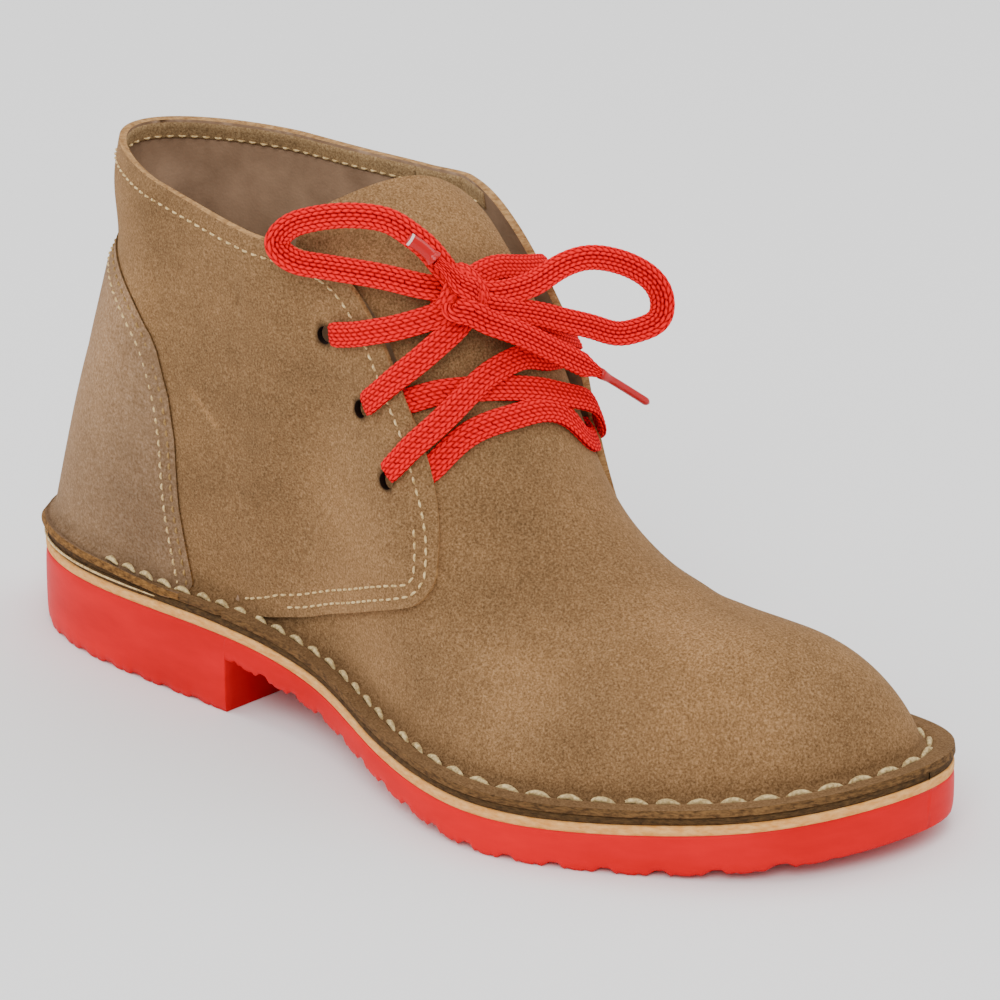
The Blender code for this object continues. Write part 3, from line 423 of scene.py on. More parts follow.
def edge_from(centre, angle):
    """The point of the sole's edge that is seen from a centre at an angle."""
    spokes = EDGE - np.asarray(centre)
    bearing = np.arctan2(spokes[:, 1], spokes[:, 0])
    order = np.argsort(bearing)
    reach = np.interp(angle, bearing[order], np.hypot(*spokes[order].T), period=2 * math.pi)
    return np.stack([centre[0] + reach * np.cos(angle), centre[1] + reach * np.sin(angle)], -1)


def flange_top(x):
    """Height of the turned-out foot of the upper along the sole."""
    return column(RUBBER_TOP, 1, x) + MIDSOLE + RUNNER + FLANGE + 3 * GAP


def feather_y(side, x):
    """y of the foot of the wall."""
    return edge_y(side, x) - side * column(FLANGE_WIDTH, 1, x)


def ridge_y(x):
    """y of the ridge of the vamp and tongue."""
    return np.interp(x, *np.transpose(RIDGE_Y))


def vamp_climb(x, rho):
    """Share of the ridge's height that the vamp's form has at rho: a superellipse."""
    return np.maximum(1 - rho ** column(VAMP, 2, x), 0) ** (1 / column(VAMP, 3, x))


def vamp_point(side, x, rho):
    """The vamp's form: y is straight in rho, and the height is a superellipse of it."""
    ridge = column(VAMP, 1, x)
    base = flange_top(x)
    y = ridge_y(x) + (feather_y(side, x) - ridge_y(x)) * rho
    return np.stack([x + 0 * rho, y, base + (ridge - base) * vamp_climb(x, rho)], -1)


def vamp_rho(x, height):
    """rho of the vamp's form where it has climbed the given share of its height."""
    return np.maximum(1 - height ** column(VAMP, 3, x), 0) ** (1 / column(VAMP, 2, x))


def vamp_line(foot_x, ridge_x, rho):
    """x along one row of the vamp, swept back towards the foot."""
    climbed = np.maximum(1 - rho ** 2, 0) ** 0.77
    return foot_x + (ridge_x - foot_x) * (1 - (1 - climbed) ** 2.2)


def ankle_width(side, x, z):
    """Half width of the ankle's form: splined over x in its table, then over height."""
    names = (2, 3, 5) if side == LATERAL else (2, 4, 6)
    widths = np.array([[row[c] for c in names] for row in ANKLE], float)
    at_x = spline((HEEL_X, 100.0, 130.0), widths.T, x)
    base = flange_top(x)
    foot = side * feather_y(side, x) + OVERLAY * smoothstep((x - 90) / 14)
    levels = np.broadcast_to([row[0] for row in ANKLE], at_x.shape).astype(float)
    knots = np.concatenate([base[..., None], levels], -1)
    return spline_each(knots, np.concatenate([foot[..., None], at_x], -1), z)


def heel_form(name, foot, z):
    """One column of the ankle's table over height, with its value at the foot given."""
    knots = [float(flange_top(0))] + [row[0] for row in ANKLE]
    return spline(knots, [foot] + [row[name] for row in ANKLE], z)


def cover(x, z):
    """How far in front of the vamp's rear edge a point of the wall lies, and its rho."""
    base = flange_top(x)
    height = np.clip((z - base) / (column(VAMP, 1, x) - base), 0, 0.995)
    rho = vamp_rho(x, height)
    return x - vamp_line(*VAMP_RUNS[0], rho), rho


def standoff(x, z):
    """How far the inner flap stands away from the foot."""
    low, rise, start, run = FLAP_OPENS
    return FLAP_STANDOFF * smoothstep((z - low) / rise) * smoothstep((x - start) / run)


def quarter_point(side, station, z):
    """The quarters' form.  Forward of HEEL_X the station is x; behind it the station counts
    down to 0 at the back, round a squared half ellipse.  In front of the ankle the wall
    passes smoothly onto the vamp's form, one thickness above it."""
    station, z = np.broadcast_arrays(np.asarray(station, float), np.asarray(z, float))
    x = np.maximum(station, HEEL_X)
    y = ankle_width(side, x, z)
    lap, rho = cover(x, z)
    lift = OVERLAY + TONGUE_LIFT * (1 - smoothstep((lap - 1) / 6))
    wall = side * vamp_point(side, x, rho)[..., 1] + lift
    floor = wall - FLOOR_DROP * (1 - smoothstep((x - LEAVE_ANKLE) / FLOOR_RISE))
    ahead = smoothstep((x - LEAVE_ANKLE) / REACH_VAMP)
    forward = 1 - (1 - ahead) * (1 - smoothstep(lap / LAP_RUN))
    over = smooth_max(y, floor, FLOOR_SOFT)
    y = np.where(x > LEAVE_ANKLE, (1 - forward) * over + forward * wall, y)
    if side == MEDIAL:
        y = y + standoff(x, z)
    turn = np.clip((HEEL_X - station) / HEEL_X, 0, 1) * math.pi / 2
    square = heel_form(7, HEEL_POWER, z)
    back = heel_form(1, FLANGE_WIDTH[0][1] + 0.6, z)
    round_x = HEEL_X - (HEEL_X - back) * np.sin(turn) ** (2 / square)
    round_y = y * np.maximum(np.cos(turn), 0) ** (2 / np.maximum(square, 2))
    behind = station < HEEL_X
    return np.stack([np.where(behind, round_x, x), side * np.where(behind, round_y, y), z], -1)


def outline(table, name):
    """A line of the quarters' outline as a fine smooth curve."""
    rows = np.array([(row[0], row[name]) for row in table], float)
    knots = walked(rows)
    return spline(knots, rows, np.linspace(0, knots[-1], 900))


TOP_EDGE = {LATERAL: outline(TOPLINE, 1), MEDIAL: outline(TOPLINE, 2)}
LOW_EDGE = outline(BOTTOM_LINE, 1)
COUNTER_EDGE = outline(COUNTER_LINE, 1)


def top_z(side, station):
    """Height of the topline at a station of the quarters."""
    return np.interp(quarter_point(side, station, TOP_LEVEL)[..., 0], *TOP_EDGE[side].T)


def low_z(station):
    """Height of the quarters' free lower edge."""
    return np.interp(station, *LOW_EDGE.T)


def quarter_normal(side, station, z):
    """Outward normal of the quarters' form."""
    step = 0.4
    here = quarter_point(side, station, z)
    along = quarter_point(side, np.asarray(station) + step, z) - here
    up = quarter_point(side, station, np.asarray(z) + step) - here
    return unit(np.cross(along, up) * -side)


def foot_normal(points):
    """Inward normal of the vamp's form at or below points."""
    x, y = points[:, 0], points[:, 1]
    normals = []
    for side in SIDES:
        rho = np.clip((y - ridge_y(x)) / (feather_y(side, x) - ridge_y(x)), 0.0, 0.93)
        here = vamp_point(side, x, rho)
        ahead = vamp_point(side, x + 1, rho) - here
        down = vamp_point(side, x, rho + 0.02) - here
        normals.append(np.cross(ahead, down) * -side)
    return unit(np.where((y < ridge_y(x))[:, None], *normals))


def through(points, count):
    """A smooth curve through given points, read at evenly spaced places."""
    points = np.array(points, float)
    knots = walked(points)
    return evenly(spline(knots, points, np.linspace(0, knots[-1], 1200)), count)


def evenly(line, count):
    """A line read again at evenly spaced places; it may carry more columns than x, y and z."""
    way = walked(line)
    at = np.linspace(0, way[-1], count)
    return np.stack([np.interp(at, way, values) for values in line.T], -1)


def length_of(line):
    """Length of a line."""
    return float(walked(line)[-1])


# ------------------------------------------------------------------------- meshes and pieces

def grid_faces(rows, columns, wrap=False):
    """Quads of a grid of points numbered row by row; wrap closes each row on itself."""
    number = np.arange(rows * columns).reshape(rows, columns)
    if wrap:
        number = np.hstack([number, number[:, :1]])
    quads = np.stack([number[:-1, :-1], number[1:, :-1], number[1:, 1:], number[:-1, 1:]], -1)
    return quads.reshape(-1, 4)


def capped(rings, around):
    """Faces of a closed tube made of rings of points, with a cap at either end."""
    caps = [list(range(around)), [rings * around - 1 - k for k in range(around)]]
    return grid_faces(rings, around, wrap=True).tolist() + caps


def tube(path, side, up, wide, around):
    """Points and faces of a round tube: rings across a path, of the radii given along it."""
    turn = np.arange(around) * 2 * math.pi / around
    ring = side[:, None] * np.cos(turn)[:, None] + up[:, None] * np.sin(turn)[:, None]
    return (path[:, None] + ring * wide[:, None, None]).reshape(-1, 3), capped(len(path), around)


def welded(points, faces):
    """Points that coincide made one, and faces that lost a corner closed up."""
    _, first, where = np.unique(np.round(points, 4), axis=0, return_index=True, return_inverse=True)
    faces = where.reshape(-1)[faces]
    loops = [list(dict.fromkeys(loop)) for loop in faces.tolist()]
    return points[first], [loop for loop in loops if len(loop) > 2]


def make_piece(name, points, faces, materials, slot, replaced=(), attributes=()):
    """A mesh object from points in millimetres; attributes are named values at the points."""
    mesh = bpy.data.meshes.new(name)
    faces = faces.tolist() if isinstance(faces, np.ndarray) else faces
    mesh.from_pydata(place(points).tolist(), [], faces)
    mesh.polygons.foreach_set("use_smooth", [True] * len(mesh.polygons))
    for material in materials:
        mesh.materials.append(material)
    for label, values in attributes:
        layer = mesh.attributes.new(label, "FLOAT", "POINT")
        layer.data.foreach_set("value", np.asarray(values, np.float32).ravel())
    made = bpy.data.objects.new(name, mesh)
    bpy.context.scene.collection.objects.link(made)
    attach(made, "root")
    if replaced:
        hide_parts(*replaced)
    return made


def closed_piece(*description):
    """A piece whose mesh is closed already, with all its faces turned outwards."""
    made = make_piece(*description)
    shape = bmesh.new()
    shape.from_mesh(made.data)
    bmesh.ops.recalc_face_normals(shape, faces=shape.faces)
    shape.to_mesh(made.data)
    shape.free()
    return made


def leather_panel(name, points, faces, finishes, thickness, holes=(), replaced=("upper",)):
    """A panel of suede: an outer sheet that gets its thickness inwards, with an eased cut
    edge.  Its three finishes are those of the face, of the back and of the cut edge."""
    made = make_piece(name, points, faces, [finish(key) for key in finishes], "suede", replaced,
                      [("tone", tone(points, holes))])
    wall = made.modifiers.new("wall", "SOLIDIFY")
    wall.thickness = thickness * MM
    wall.offset = -1
    wall.material_offset = 1
    wall.material_offset_rim = 2
    ease = made.modifiers.new("edge", "BEVEL")
    ease.width = EASED_EDGE * MM
    ease.segments = 2
    ease.limit_method = "ANGLE"
    ease.angle_limit = math.radians(50)
    return made


# ---------------------------------------------------------------------------------- materials

def linear(code):
    """An sRGB hex colour as linear RGBA."""
    values = np.array([int(code[k:k + 2], 16) for k in (1, 3, 5)]) / 255
    low = values / 12.92
    high = ((values + 0.055) / 1.055) ** 2.4
    return (*np.where(values <= 0.04045, low, high).tolist(), 1.0)


# Sockets of a node that mixes two colours.
FACTOR, UNDER, OVER, MIXED = 0, 6, 7, 2


def add_node(tree, kind, output, sockets, stops=(), **settings):
    """Adds a node and returns one of its outputs.  A socket gets a value or the output that
    feeds it, stops are places and hex colours along a ramp, and the rest are its settings."""
    node = tree.nodes.new("ShaderNode" + kind)
    for key, value in settings.items():
        setattr(node, key, value)
    for key, value in sockets.items():
        if isinstance(value, bpy.types.NodeSocket):
            tree.links.new(value, node.inputs[key])
        else:
            node.inputs[key].default_value = value
    elements = node.color_ramp.elements if stops else ()
    while len(elements) < len(stops):
        elements.new(0.5)
    for element, (position, code) in zip(elements, stops):
        element.position = position
        element.color = linear(code)
    return node.outputs[output]


def mottle(tree, at, size_mm, detail=3.0, roughness=0.55, stretch=(1, 1, 1)):
    """Uneven spots about size_mm across and stretched along the axes, from 0 to 1."""
    scale = tuple(1 / (size_mm * MM * s) for s in stretch)
    spot = add_node(tree, "Mapping", "Vector", {"Vector": at, "Scale": scale})
    return add_node(tree, "TexNoise", "Fac", {"Vector": spot, "Scale": 1.0, "Detail": detail,
                                              "Roughness": roughness})


def new_material(name, roughness, **sockets):
    """A Principled material with its sockets set, and its tree."""
    made = bpy.data.materials.new(name)
    made.use_nodes = True
    shader = made.node_tree.nodes["Principled BSDF"]
    for key, value in {"Roughness": roughness, **sockets}.items():
        shader.inputs[key.replace("_", " ")].default_value = value
    return made, made.node_tree


def dressed(made, colour, normal=None):
    """A material with its colour and its bump joined to its shader."""
    links, sockets = made.node_tree.links, made.node_tree.nodes["Principled BSDF"].inputs
    links.new(colour, sockets["Base Color"])
    if normal is not None:
        links.new(normal, sockets["Normal"])
    return made


def suede(name, dark, mid, light, nap=0.9):
    """Split leather, sanded until its fibres stand up: a dull, mottled nap that scatters light at grazing
    angles, with brushed patches a few centimetres across.  The tone attribute is 0.5 as new and 1 where
    the suede is worn pale; towards 0 it darkens the suede, in worn places, as dirt and painted shade at
    the foot of the wall, and as painted shade under the counter's foot and round the eyelet holes."""
    made, tree = new_material(name, 0.95, Specular_IOR_Level=0.12, Sheen_Weight=0.3,
                              Sheen_Roughness=0.5, Sheen_Tint=linear(light))
    at = add_node(tree, "TexCoord", "Object", {})
    fibre = mottle(tree, at, 0.62 * nap, 4.0, 0.72)
    tuft = mottle(tree, at, 2.4 * nap, 3.0, 0.6)
    brushed = mottle(tree, at, 24, 4.0, 0.6, (1.4, 1.0, 0.8))
    wear_and_shade = add_node(tree, "Attribute", "Fac", {}, attribute_name="tone")
    colour = add_node(tree, "ValToRGB", "Color", {"Fac": fibre},
                      ((0.32, dark), (0.5, mid), (0.7, light)))
    for amount, pattern, stops in (
            (0.6, brushed, ((0.3, "#848484"), (0.7, "#B2B2B2"))),
            (0.35, tuft, ((0.35, "#8E8E8E"), (0.65, "#ACACAC"))),
            # tone: worn places lighter and darker, and dirt and painted shade darker
            (0.9, wear_and_shade, ((0.0, "#3A3024"), (0.5, "#BCBCBC"), (1.0, "#FFFAF2")))):
        layer = add_node(tree, "ValToRGB", "Color", {"Fac": pattern}, stops)
        colour = add_node(tree, "Mix", MIXED, {FACTOR: amount, UNDER: colour, OVER: layer},
                          data_type="RGBA", blend_type="OVERLAY")
    rough = add_node(tree, "Bump", "Normal", {"Distance": 0.25 * MM, "Strength": 0.6, "Height": tuft})
    raised = add_node(tree, "Bump", "Normal", {"Distance": 0.2 * MM, "Strength": 0.8,
                                               "Height": fibre, "Normal": rough})
    return dressed(made, colour, raised)


def smooth_leather(name, dark, light, grain_mm=0.8, roughness=0.6):
    """Vegetable-tanned leather: fine pebbled grain and slow changes of colour."""
    made, tree = new_material(name, roughness, Specular_IOR_Level=0.3)
    at = add_node(tree, "TexCoord", "Object", {})
    cells = add_node(tree, "TexVoronoi", "Distance", {"Vector": at, "Scale": 1 / (grain_mm * MM)})
    colour = add_node(tree, "ValToRGB", "Color", {"Fac": mottle(tree, at, 14, 4.0)},
                      ((0.3, dark), (0.7, light)))
    pebbled = add_node(tree, "Bump", "Normal", {"Distance": 0.08 * MM, "Strength": 0.6, "Height": cells})
    return dressed(made, colour, pebbled)


def cut_edge(name, dark, light, layer_mm=0.6, stretch=(3, 3, 1), low=None, toned=False):
    """The cut side of leather: fibres in layers, paler where the knife opened them.  When low is given,
    the edge near the sole fades into its pair of colours: darker on the suede's edges, and lighter on the
    counter's foot, whose edge above is painted dark as a painted shadow line.  A toned edge is painted
    near-black where the tone attribute is low: painted shade in the eyelet holes and under the counter's
    foot, and dirt and painted shade at the foot of the wall."""
    made, tree = new_material(name, 0.85, Specular_IOR_Level=0.15)
    at = add_node(tree, "TexCoord", "Object", {})
    layers = mottle(tree, at, layer_mm, 4.0, 0.65, stretch)
    colour = add_node(tree, "ValToRGB", "Color", {"Fac": layers}, ((0.3, dark), (0.7, light)))
    if low:
        # near the sole the edge takes the low colours; on the counter the colours above make its painted
        # shadow line
        height = add_node(tree, "SeparateXYZ", "Z", {"Vector": at})
        part = add_node(tree, "MapRange", "Result", {"Value": height, "From Min": EDGE_LOW_FADE[0],
                                                     "From Max": EDGE_LOW_FADE[1]})
        near_sole_colour = add_node(tree, "ValToRGB", "Color", {"Fac": layers}, ((0.35, low[0]), (0.7, low[1])))
        colour = add_node(tree, "Mix", MIXED, {FACTOR: part, UNDER: near_sole_colour, OVER: colour},
                          data_type="RGBA", blend_type="MIX")
    if toned:
        # a low tone paints the edge near-black: painted shade in the eyelet holes and under the counter's
        # foot, dirt and painted shade at the wall's foot
        wear_and_shade = add_node(tree, "Attribute", "Fac", {}, attribute_name="tone")
        shade_and_dirt = add_node(tree, "ValToRGB", "Color", {"Fac": wear_and_shade}, ((0.0, "#241A12"), (0.3, "#FFFFFF")))
        colour = add_node(tree, "Mix", MIXED, {FACTOR: 1.0, UNDER: colour, OVER: shade_and_dirt},
                          data_type="RGBA", blend_type="MULTIPLY")
    fibrous = add_node(tree, "Bump", "Normal", {"Distance": 0.2 * MM, "Strength": 0.8, "Height": layers})
    return dressed(made, colour, fibrous)


def moulded_rubber(name, dark, light):
    """Moulded crepe-like rubber: satin, with faint flow marks and small pits."""
    made, tree = new_material(name, 0.45, Specular_IOR_Level=0.07)
    at = add_node(tree, "TexCoord", "Object", {})
    flow = mottle(tree, at, 30, 4.0, 0.6, (1.6, 1.6, 0.5))
    pits = mottle(tree, at, 1.2, 3.0, 0.6)
    colour = add_node(tree, "ValToRGB", "Color", {"Fac": flow}, ((0.3, dark), (0.7, light)))
    worn = add_node(tree, "Bump", "Normal", {"Distance": 0.5 * MM, "Strength": 0.5, "Height": flow})
    pitted = add_node(tree, "Bump", "Normal", {"Distance": 0.08 * MM, "Strength": 0.5,
                                               "Height": pits, "Normal": worn})
    return dressed(made, colour, pitted)


def braid_material(name, gap, side, crown):
    """Polyester braid with its relief's light and shade painted into its colour: each crown is painted
    bright, a painted highlight, and the gaps between them dark, painted shade.  The relief attribute is 0
    in a gap and 1 on a crown."""
    made, tree = new_material(name, 0.75, Specular_IOR_Level=0.02)
    relief = add_node(tree, "Attribute", "Fac", {}, attribute_name="relief")
    fibre = mottle(tree, add_node(tree, "TexCoord", "Object", {}), 0.35, 3.0)
    # light and shade of the braid's relief painted into its colour: dark gaps, bright crowns
    yarn_light_and_shade = add_node(tree, "ValToRGB", "Color", {"Fac": relief}, ((0.08, gap), (0.4, side), (0.85, crown)))
    fine = add_node(tree, "ValToRGB", "Color", {"Fac": fibre}, ((0.3, "#707070"), (0.7, "#909090")))
    colour = add_node(tree, "Mix", MIXED, {FACTOR: 0.25, UNDER: yarn_light_and_shade, OVER: fine},
                      data_type="RGBA", blend_type="OVERLAY")
    fuzz = add_node(tree, "Bump", "Normal", {"Distance": 0.06 * MM, "Strength": 0.6, "Height": fibre})
    return dressed(made, colour, fuzz)


def thread_material(name, dark, light):
    """Waxed linen thread: dull, with a little dirt in its twist."""
    made, tree = new_material(name, 0.7, Specular_IOR_Level=0.25)
    twist = mottle(tree, add_node(tree, "TexCoord", "Object", {}), 0.8, 3.0)
    return dressed(made, add_node(tree, "ValToRGB", "Color", {"Fac": twist},
                                  ((0.3, dark), (0.65, light))))


def plain_material(name, code, roughness, **sockets):
    """One even finish."""
    return new_material(name, roughness, Base_Color=linear(code), **sockets)[0]


def build_materials():
    """All the finishes of the shoe by name."""
    return {
        "suede": suede("tan_suede", "#684A2C", "#95704A", "#BE966A"),
        "counter": suede("brushed_suede", "#785A3E", "#997858", "#B69678", 1.2),
        # painted lighter than the upper's suede, to offset the shade inside the collar where it lies
        "collar": suede("collar_suede_painted_lighter", "#7A5E40", "#A5845C", "#C8A97C"),
        "lining": smooth_leather("skived_leather", "#846850", "#A8886C"),
        # the suede's cut edge: darker near the sole, and painted near-black as shade in the eyelet holes
        "suede_edge": cut_edge("suede_cut_edge", "#7A5530", "#BC9260",
                               low=("#46301A", "#86623A"), toned=True),
        # The counter's edge: dark colours above the sole, a painted shadow line along its front and top;
        # lighter raw-edge colours on its foot near the sole.
        "counter_edge": cut_edge("counter_edge_shadow_line", "#33230F", "#6A4C2A",
                                 low=("#4C3218", "#966A38")),
        "runner": cut_edge("runner_edge", "#2E1F10", "#5C4326"),
        "midsole": cut_edge("midsole_edge", "#CF8A40", "#EDB672", 0.9),
        "insole": smooth_leather("insole_leather", "#8C7458", "#A78E70"),
        "rubber": moulded_rubber("moulded_rubber", "#C2040E", "#E00618"),
        "lace": braid_material("polyester_braid", "#4C0008", "#C20010", "#FA0A22"),
        "thread": thread_material("linen_thread", "#A8844C", "#E4C792"),
        # a darker thread for the counter's outer row
        "dim_thread": thread_material("darker_linen_thread", "#7A5C34", "#A5834F"),
        "welt_thread": thread_material("waxed_welt_thread", "#94784A", "#D8C08C"),
        "aglet": plain_material("clear_acetate_sleeve", "#B8060E", 0.3, Specular_IOR_Level=0.15,
                                Coat_Weight=0.3, Coat_Roughness=0.08),
        # near-white rings: a painted glint on the loose sleeve's tip
        "tip": plain_material("sleeve_tip_painted_glint", "#E8C8C4", 0.25, Specular_IOR_Level=0.5),
    }


MATERIALS = {}


def finish(name):
    """A finish by its name; all of them are made when the first is asked for."""
    if not MATERIALS:
        MATERIALS.update(build_materials())
    return MATERIALS[name]


# --------------------------------------------------------------------------------- the upper

def foot_path(edge, foot):
    """The turned-out foot of a panel, from the sole's edge in to the wall: a flat that dips
    where the welt stitch pulls it down, then a quarter turn up into the wall."""
    way = edge - foot[:, :2]
    span = np.linalg.norm(way, axis=1)[:, None]
    way = way / span
    span = np.maximum(span, BEND + 0.6)
    share = np.linspace(0, 1, FOOT_FLAT)
    out = span * (1 - share) + BEND * share
    dip = sum(rise * np.exp(-((out - place) / wide) ** 2) for place, rise, wide in FOOT_WAVES)
    turn = np.linspace(0, math.pi / 2, FOOT_BEND + 1)[1:] + np.zeros((len(foot), 1))
    out = np.hstack([out, BEND * (1 - np.sin(turn))])
    rise = np.hstack([dip, BEND * (1 - np.cos(turn))])
    flat = foot[:, None, :2] + way[:, None] * out[..., None]
    return np.concatenate([flat, (flange_top(flat[..., 0]) + rise)[..., None]], -1)


def quarter_edge(side, station, foot):
    """Point of the sole's edge outside the foot of a quarter."""
    centre = np.array([HEEL_X, 0.0])
    spoke = foot[:, :2] - centre
    round_edge = edge_from(centre, np.arctan2(spoke[:, 1], spoke[:, 0]))
    straight = np.stack([station, edge_y(side, station)], -1)
    return np.where((station < HEEL_X)[:, None], round_edge, straight)


def quarter_stations(front):
    """Stations from the back seam forward, closer together towards the rounded front."""
    ease = np.linspace(math.sqrt(front - CLOSE_FROM), 0, 46)
    straight = np.linspace(HEEL_X - 0.8, CLOSE_FROM - 0.8, 90)
    return np.concatenate([np.linspace(0, HEEL_X - 2, 52), straight, front - ease ** 2])


def quarter_grid(side):
    """One quarter: columns along the foot, rows from the sole's edge up to the topline.  In
    front of FREE_FROM the turned-out foot gives way to an edge that lies on the vamp."""
    station = quarter_stations(QUARTER_FRONT)
    top = top_z(side, station)
    free = smoothstep((station - FREE_FROM) / 4)[:, None, None]
    turned = flange_top(quarter_point(side, station, FOOT_LEVEL)[:, 0]) + BEND
    low = np.where(station > FREE_FROM + 2, low_z(station) + FREE_HANG, turned)
    z = low[:, None] + (top - low)[:, None] * np.linspace(0, 1, QUARTER_ROWS)
    wall = quarter_point(side, station[:, None], z)
    foot = wall[:, 0]
    reach = 1 - 0.9 * smoothstep((station - FREE_FROM + 9) / 10)
    edge = foot[:, :2] + (quarter_edge(side, station, foot) - foot[:, :2]) * reach[:, None]
    hang = low[:, None] - FREE_HANG * (1 - np.linspace(0, 1, FOOT_ROWS + 1)[:-1])
    free_foot = quarter_point(side, station[:, None], hang)
    return np.concatenate([foot_path(edge, foot) * (1 - free) + free_foot * free, wall], 1)


def tongue_reach(t):
    """Half width of the tongue as rho, along its length."""
    return column(TONGUE_REACH, 1, t)


def climbing(foot_x):
    """rho along rows of the vamp, from the top of the foot's bend up to the ridge."""
    start = vamp_rho(foot_x, BEND / (column(VAMP, 1, foot_x) - flange_top(foot_x)))
    rho = start * np.cos(np.linspace(0, math.pi / 2, VAMP_ROWS))
    rho[:, -1] = 0
    return rho


def vamp_rows(side, count=120):
    """Rows of the vamp on one side, from the sole's edge over the foot to the ridge."""
    runs = spline(np.linspace(0, 1, len(VAMP_RUNS)), VAMP_RUNS, np.linspace(0, 1, count))
    foot_x, ridge_x = runs[:, :1], runs[:, 1:]
    rho = climbing(foot_x)
    x = vamp_line(foot_x, ridge_x, rho)
    wall = vamp_point(side, x, rho)
    wall[..., 1] -= side * VAMP_TUCK * (1 - smoothstep((x - 96) / 12)) * np.clip(rho * 4, 0, 1)
    out = np.stack([foot_x[:, 0], edge_y(side, foot_x[:, 0])], -1)
    return np.concatenate([foot_path(out, wall[:, 0]), wall], 1)


def toe_rows(count=150):
    """Rows that fan out over the toe cap from its pole."""
    pole = np.array(TOE_POLE)
    out = edge_from(pole, np.linspace(-math.pi / 2, math.pi / 2, count))
    foot = out - unit(out - pole) * column(FLANGE_WIDTH, 1, out[:, 0])[:, None]
    base = flange_top(foot[:, 0])[:, None]
    rho = climbing(foot[:, :1])
    flat = pole + (foot - pole)[:, None] * rho[..., None]
    x = flat[..., 0]
    z = base + (column(VAMP, 1, x) - base) * vamp_climb(x, rho)
    wall = np.concatenate([flat, z[..., None]], -1)
    return np.concatenate([foot_path(out, wall[:, 0]), wall], 1)


def tongue_rows(side, rho_row, count=70):
    """The tongue as it carries on from the vamp's rear edge up to its rounded tip."""
    t = np.linspace(0, 1, count)[:, None]
    share = rho_row / rho_row[0]
    rho = share * (rho_row[0] + tongue_reach(t) - tongue_reach(0.0))
    x = (1 - t) * vamp_line(*VAMP_RUNS[0], rho) + t * TONGUE_TIP
    form = vamp_point(side, x, rho)
    edge = np.stack([column(TONGUE_EDGE, k, side * share) for k in (1, 2, 3)], -1)
    return form + (t ** 3)[..., None] * (edge - form[-1])


def faded(values, amount, start, run):
    """An amount that is full up to a start and fades to nothing over a run."""
    return amount * (1 - smoothstep((values - start) / run))


def tone(points, holes=()):
    """How light or dark the suede is at points, 0.5 where it is as new: listed soft round places worn
    lighter and darker, a pale scratch, dirt and painted shade where the wall meets the sole, a dark line
    of painted shade under the counter's foot, and dark rims of painted shade round the holes."""
    value = np.full(len(points), 0.5)
    for x, y, z, radius, amount in RUBBED:
        value += amount * np.exp(-(((points - (x, y, z)) / radius) ** 2).sum(1))
    value += SCRATCH_PALE * np.exp(-(off_line(points, *SCRATCH) / SCRATCH_WIDE) ** 2)
    rise = points[:, 2] - flange_top(points[:, 0])
    # darker at the foot of the wall: dirt, and painted shade in its corner with the welt
    value -= sum(faded(rise, *shade_and_dirt) for shade_and_dirt in FOOT_SHADE_AND_DIRT)
    # painted shade under the counter's foot
    value -= smoothstep((COUNTER_FOOT_SHADE_X - points[:, 0]) / 8) * faded(rise, *COUNTER_FOOT_SHADE)
    # dark rims of painted shade round the eyelet holes
    for centre in holes:
        value -= faded(np.linalg.norm(points - centre, axis=1), 1.0, EYELET_HOLE / 2 + RIM_CLEAR, RIM_FADE)
    return np.clip(value, 0, 1)


def crease(points):
    """How deep the soft troughs are at points: a bell across each, fading past its ends."""
    return sum(most * np.exp(-(off_line(points, start, end) / width) ** 2)
               for start, end, width, most in CREASES)[:, None]


def build_vamp(thickness):
    """Vamp and tongue, cut from one piece of suede, over the front of the foot."""
    outer, inner = vamp_rows(LATERAL), vamp_rows(MEDIAL)
    rows = np.concatenate([outer, toe_rows(), inner[::-1]], 0)
    points = [rows.reshape(-1, 3)]
    faces = [grid_faces(*rows.shape[:2])]
    count = len(points[0])
    for side, panel in ((LATERAL, outer), (MEDIAL, inner)):
        edge = panel[0, FOOT_ROWS:]
        rho = (edge[:, 1] - ridge_y(edge[:, 0])) / (feather_y(side, edge[:, 0]) - ridge_y(edge[:, 0]))
        rho = rho[rho < tongue_reach(0.0)]
        rho[-1] = 0
        sheet = tongue_rows(side, rho)
        sheet[0] = edge[-len(rho):]
        quads = grid_faces(*sheet.shape[:2])
        faces.append((quads if side == MEDIAL else quads[:, ::-1]) + count)
        points.append(sheet.reshape(-1, 3))
        count += len(points[-1])
    points, faces = welded(np.concatenate(points), np.concatenate(faces))
    inward = foot_normal(points)
    inward *= -np.sign((inward * (points - (150, 0, 30))).sum(1))[:, None]
    leather_panel("vamp_and_tongue", points + inward * crease(points), faces,
                  ("suede", "lining", "suede_edge"), thickness, replaced=("upper", "tongue"))


def eyelet_frame(side, x, z):
    """Centre and outward normal of an eyelet."""
    station, height = np.array([float(x)]), np.array([float(z)])
    return quarter_point(side, station, height)[0], quarter_normal(side, station, height)[0]


def open_eyelets(side, points, faces):
    """Opens the round eyelets in a sheet: faces inside a circle go, and the corners that are
    left bare are drawn onto it."""
    for x, z in EYELETS[side]:
        centre, normal = eyelet_frame(side, x, z)
        way = points - centre
        off = np.linalg.norm(way - (way @ normal)[:, None] * normal, axis=1)
        inside = (off < EYELET_HOLE / 2 * EYELET_CORE) & (np.linalg.norm(way, axis=1) < EYELET_REACH)
        bare = np.zeros(len(points), bool)
        bare[[k for f in faces if inside[f].any() for k in f]] = True
        bare &= ~inside
        points[bare] = centre + way[bare] * (EYELET_HOLE / 2 / off[bare])[:, None]
        faces = [f for f in faces if not inside[f].any()]
    used = np.unique(np.concatenate([np.array(f) for f in faces]))
    number = np.full(len(points), -1)
    number[used] = np.arange(len(used))
    return points[used], [number[f].tolist() for f in faces]


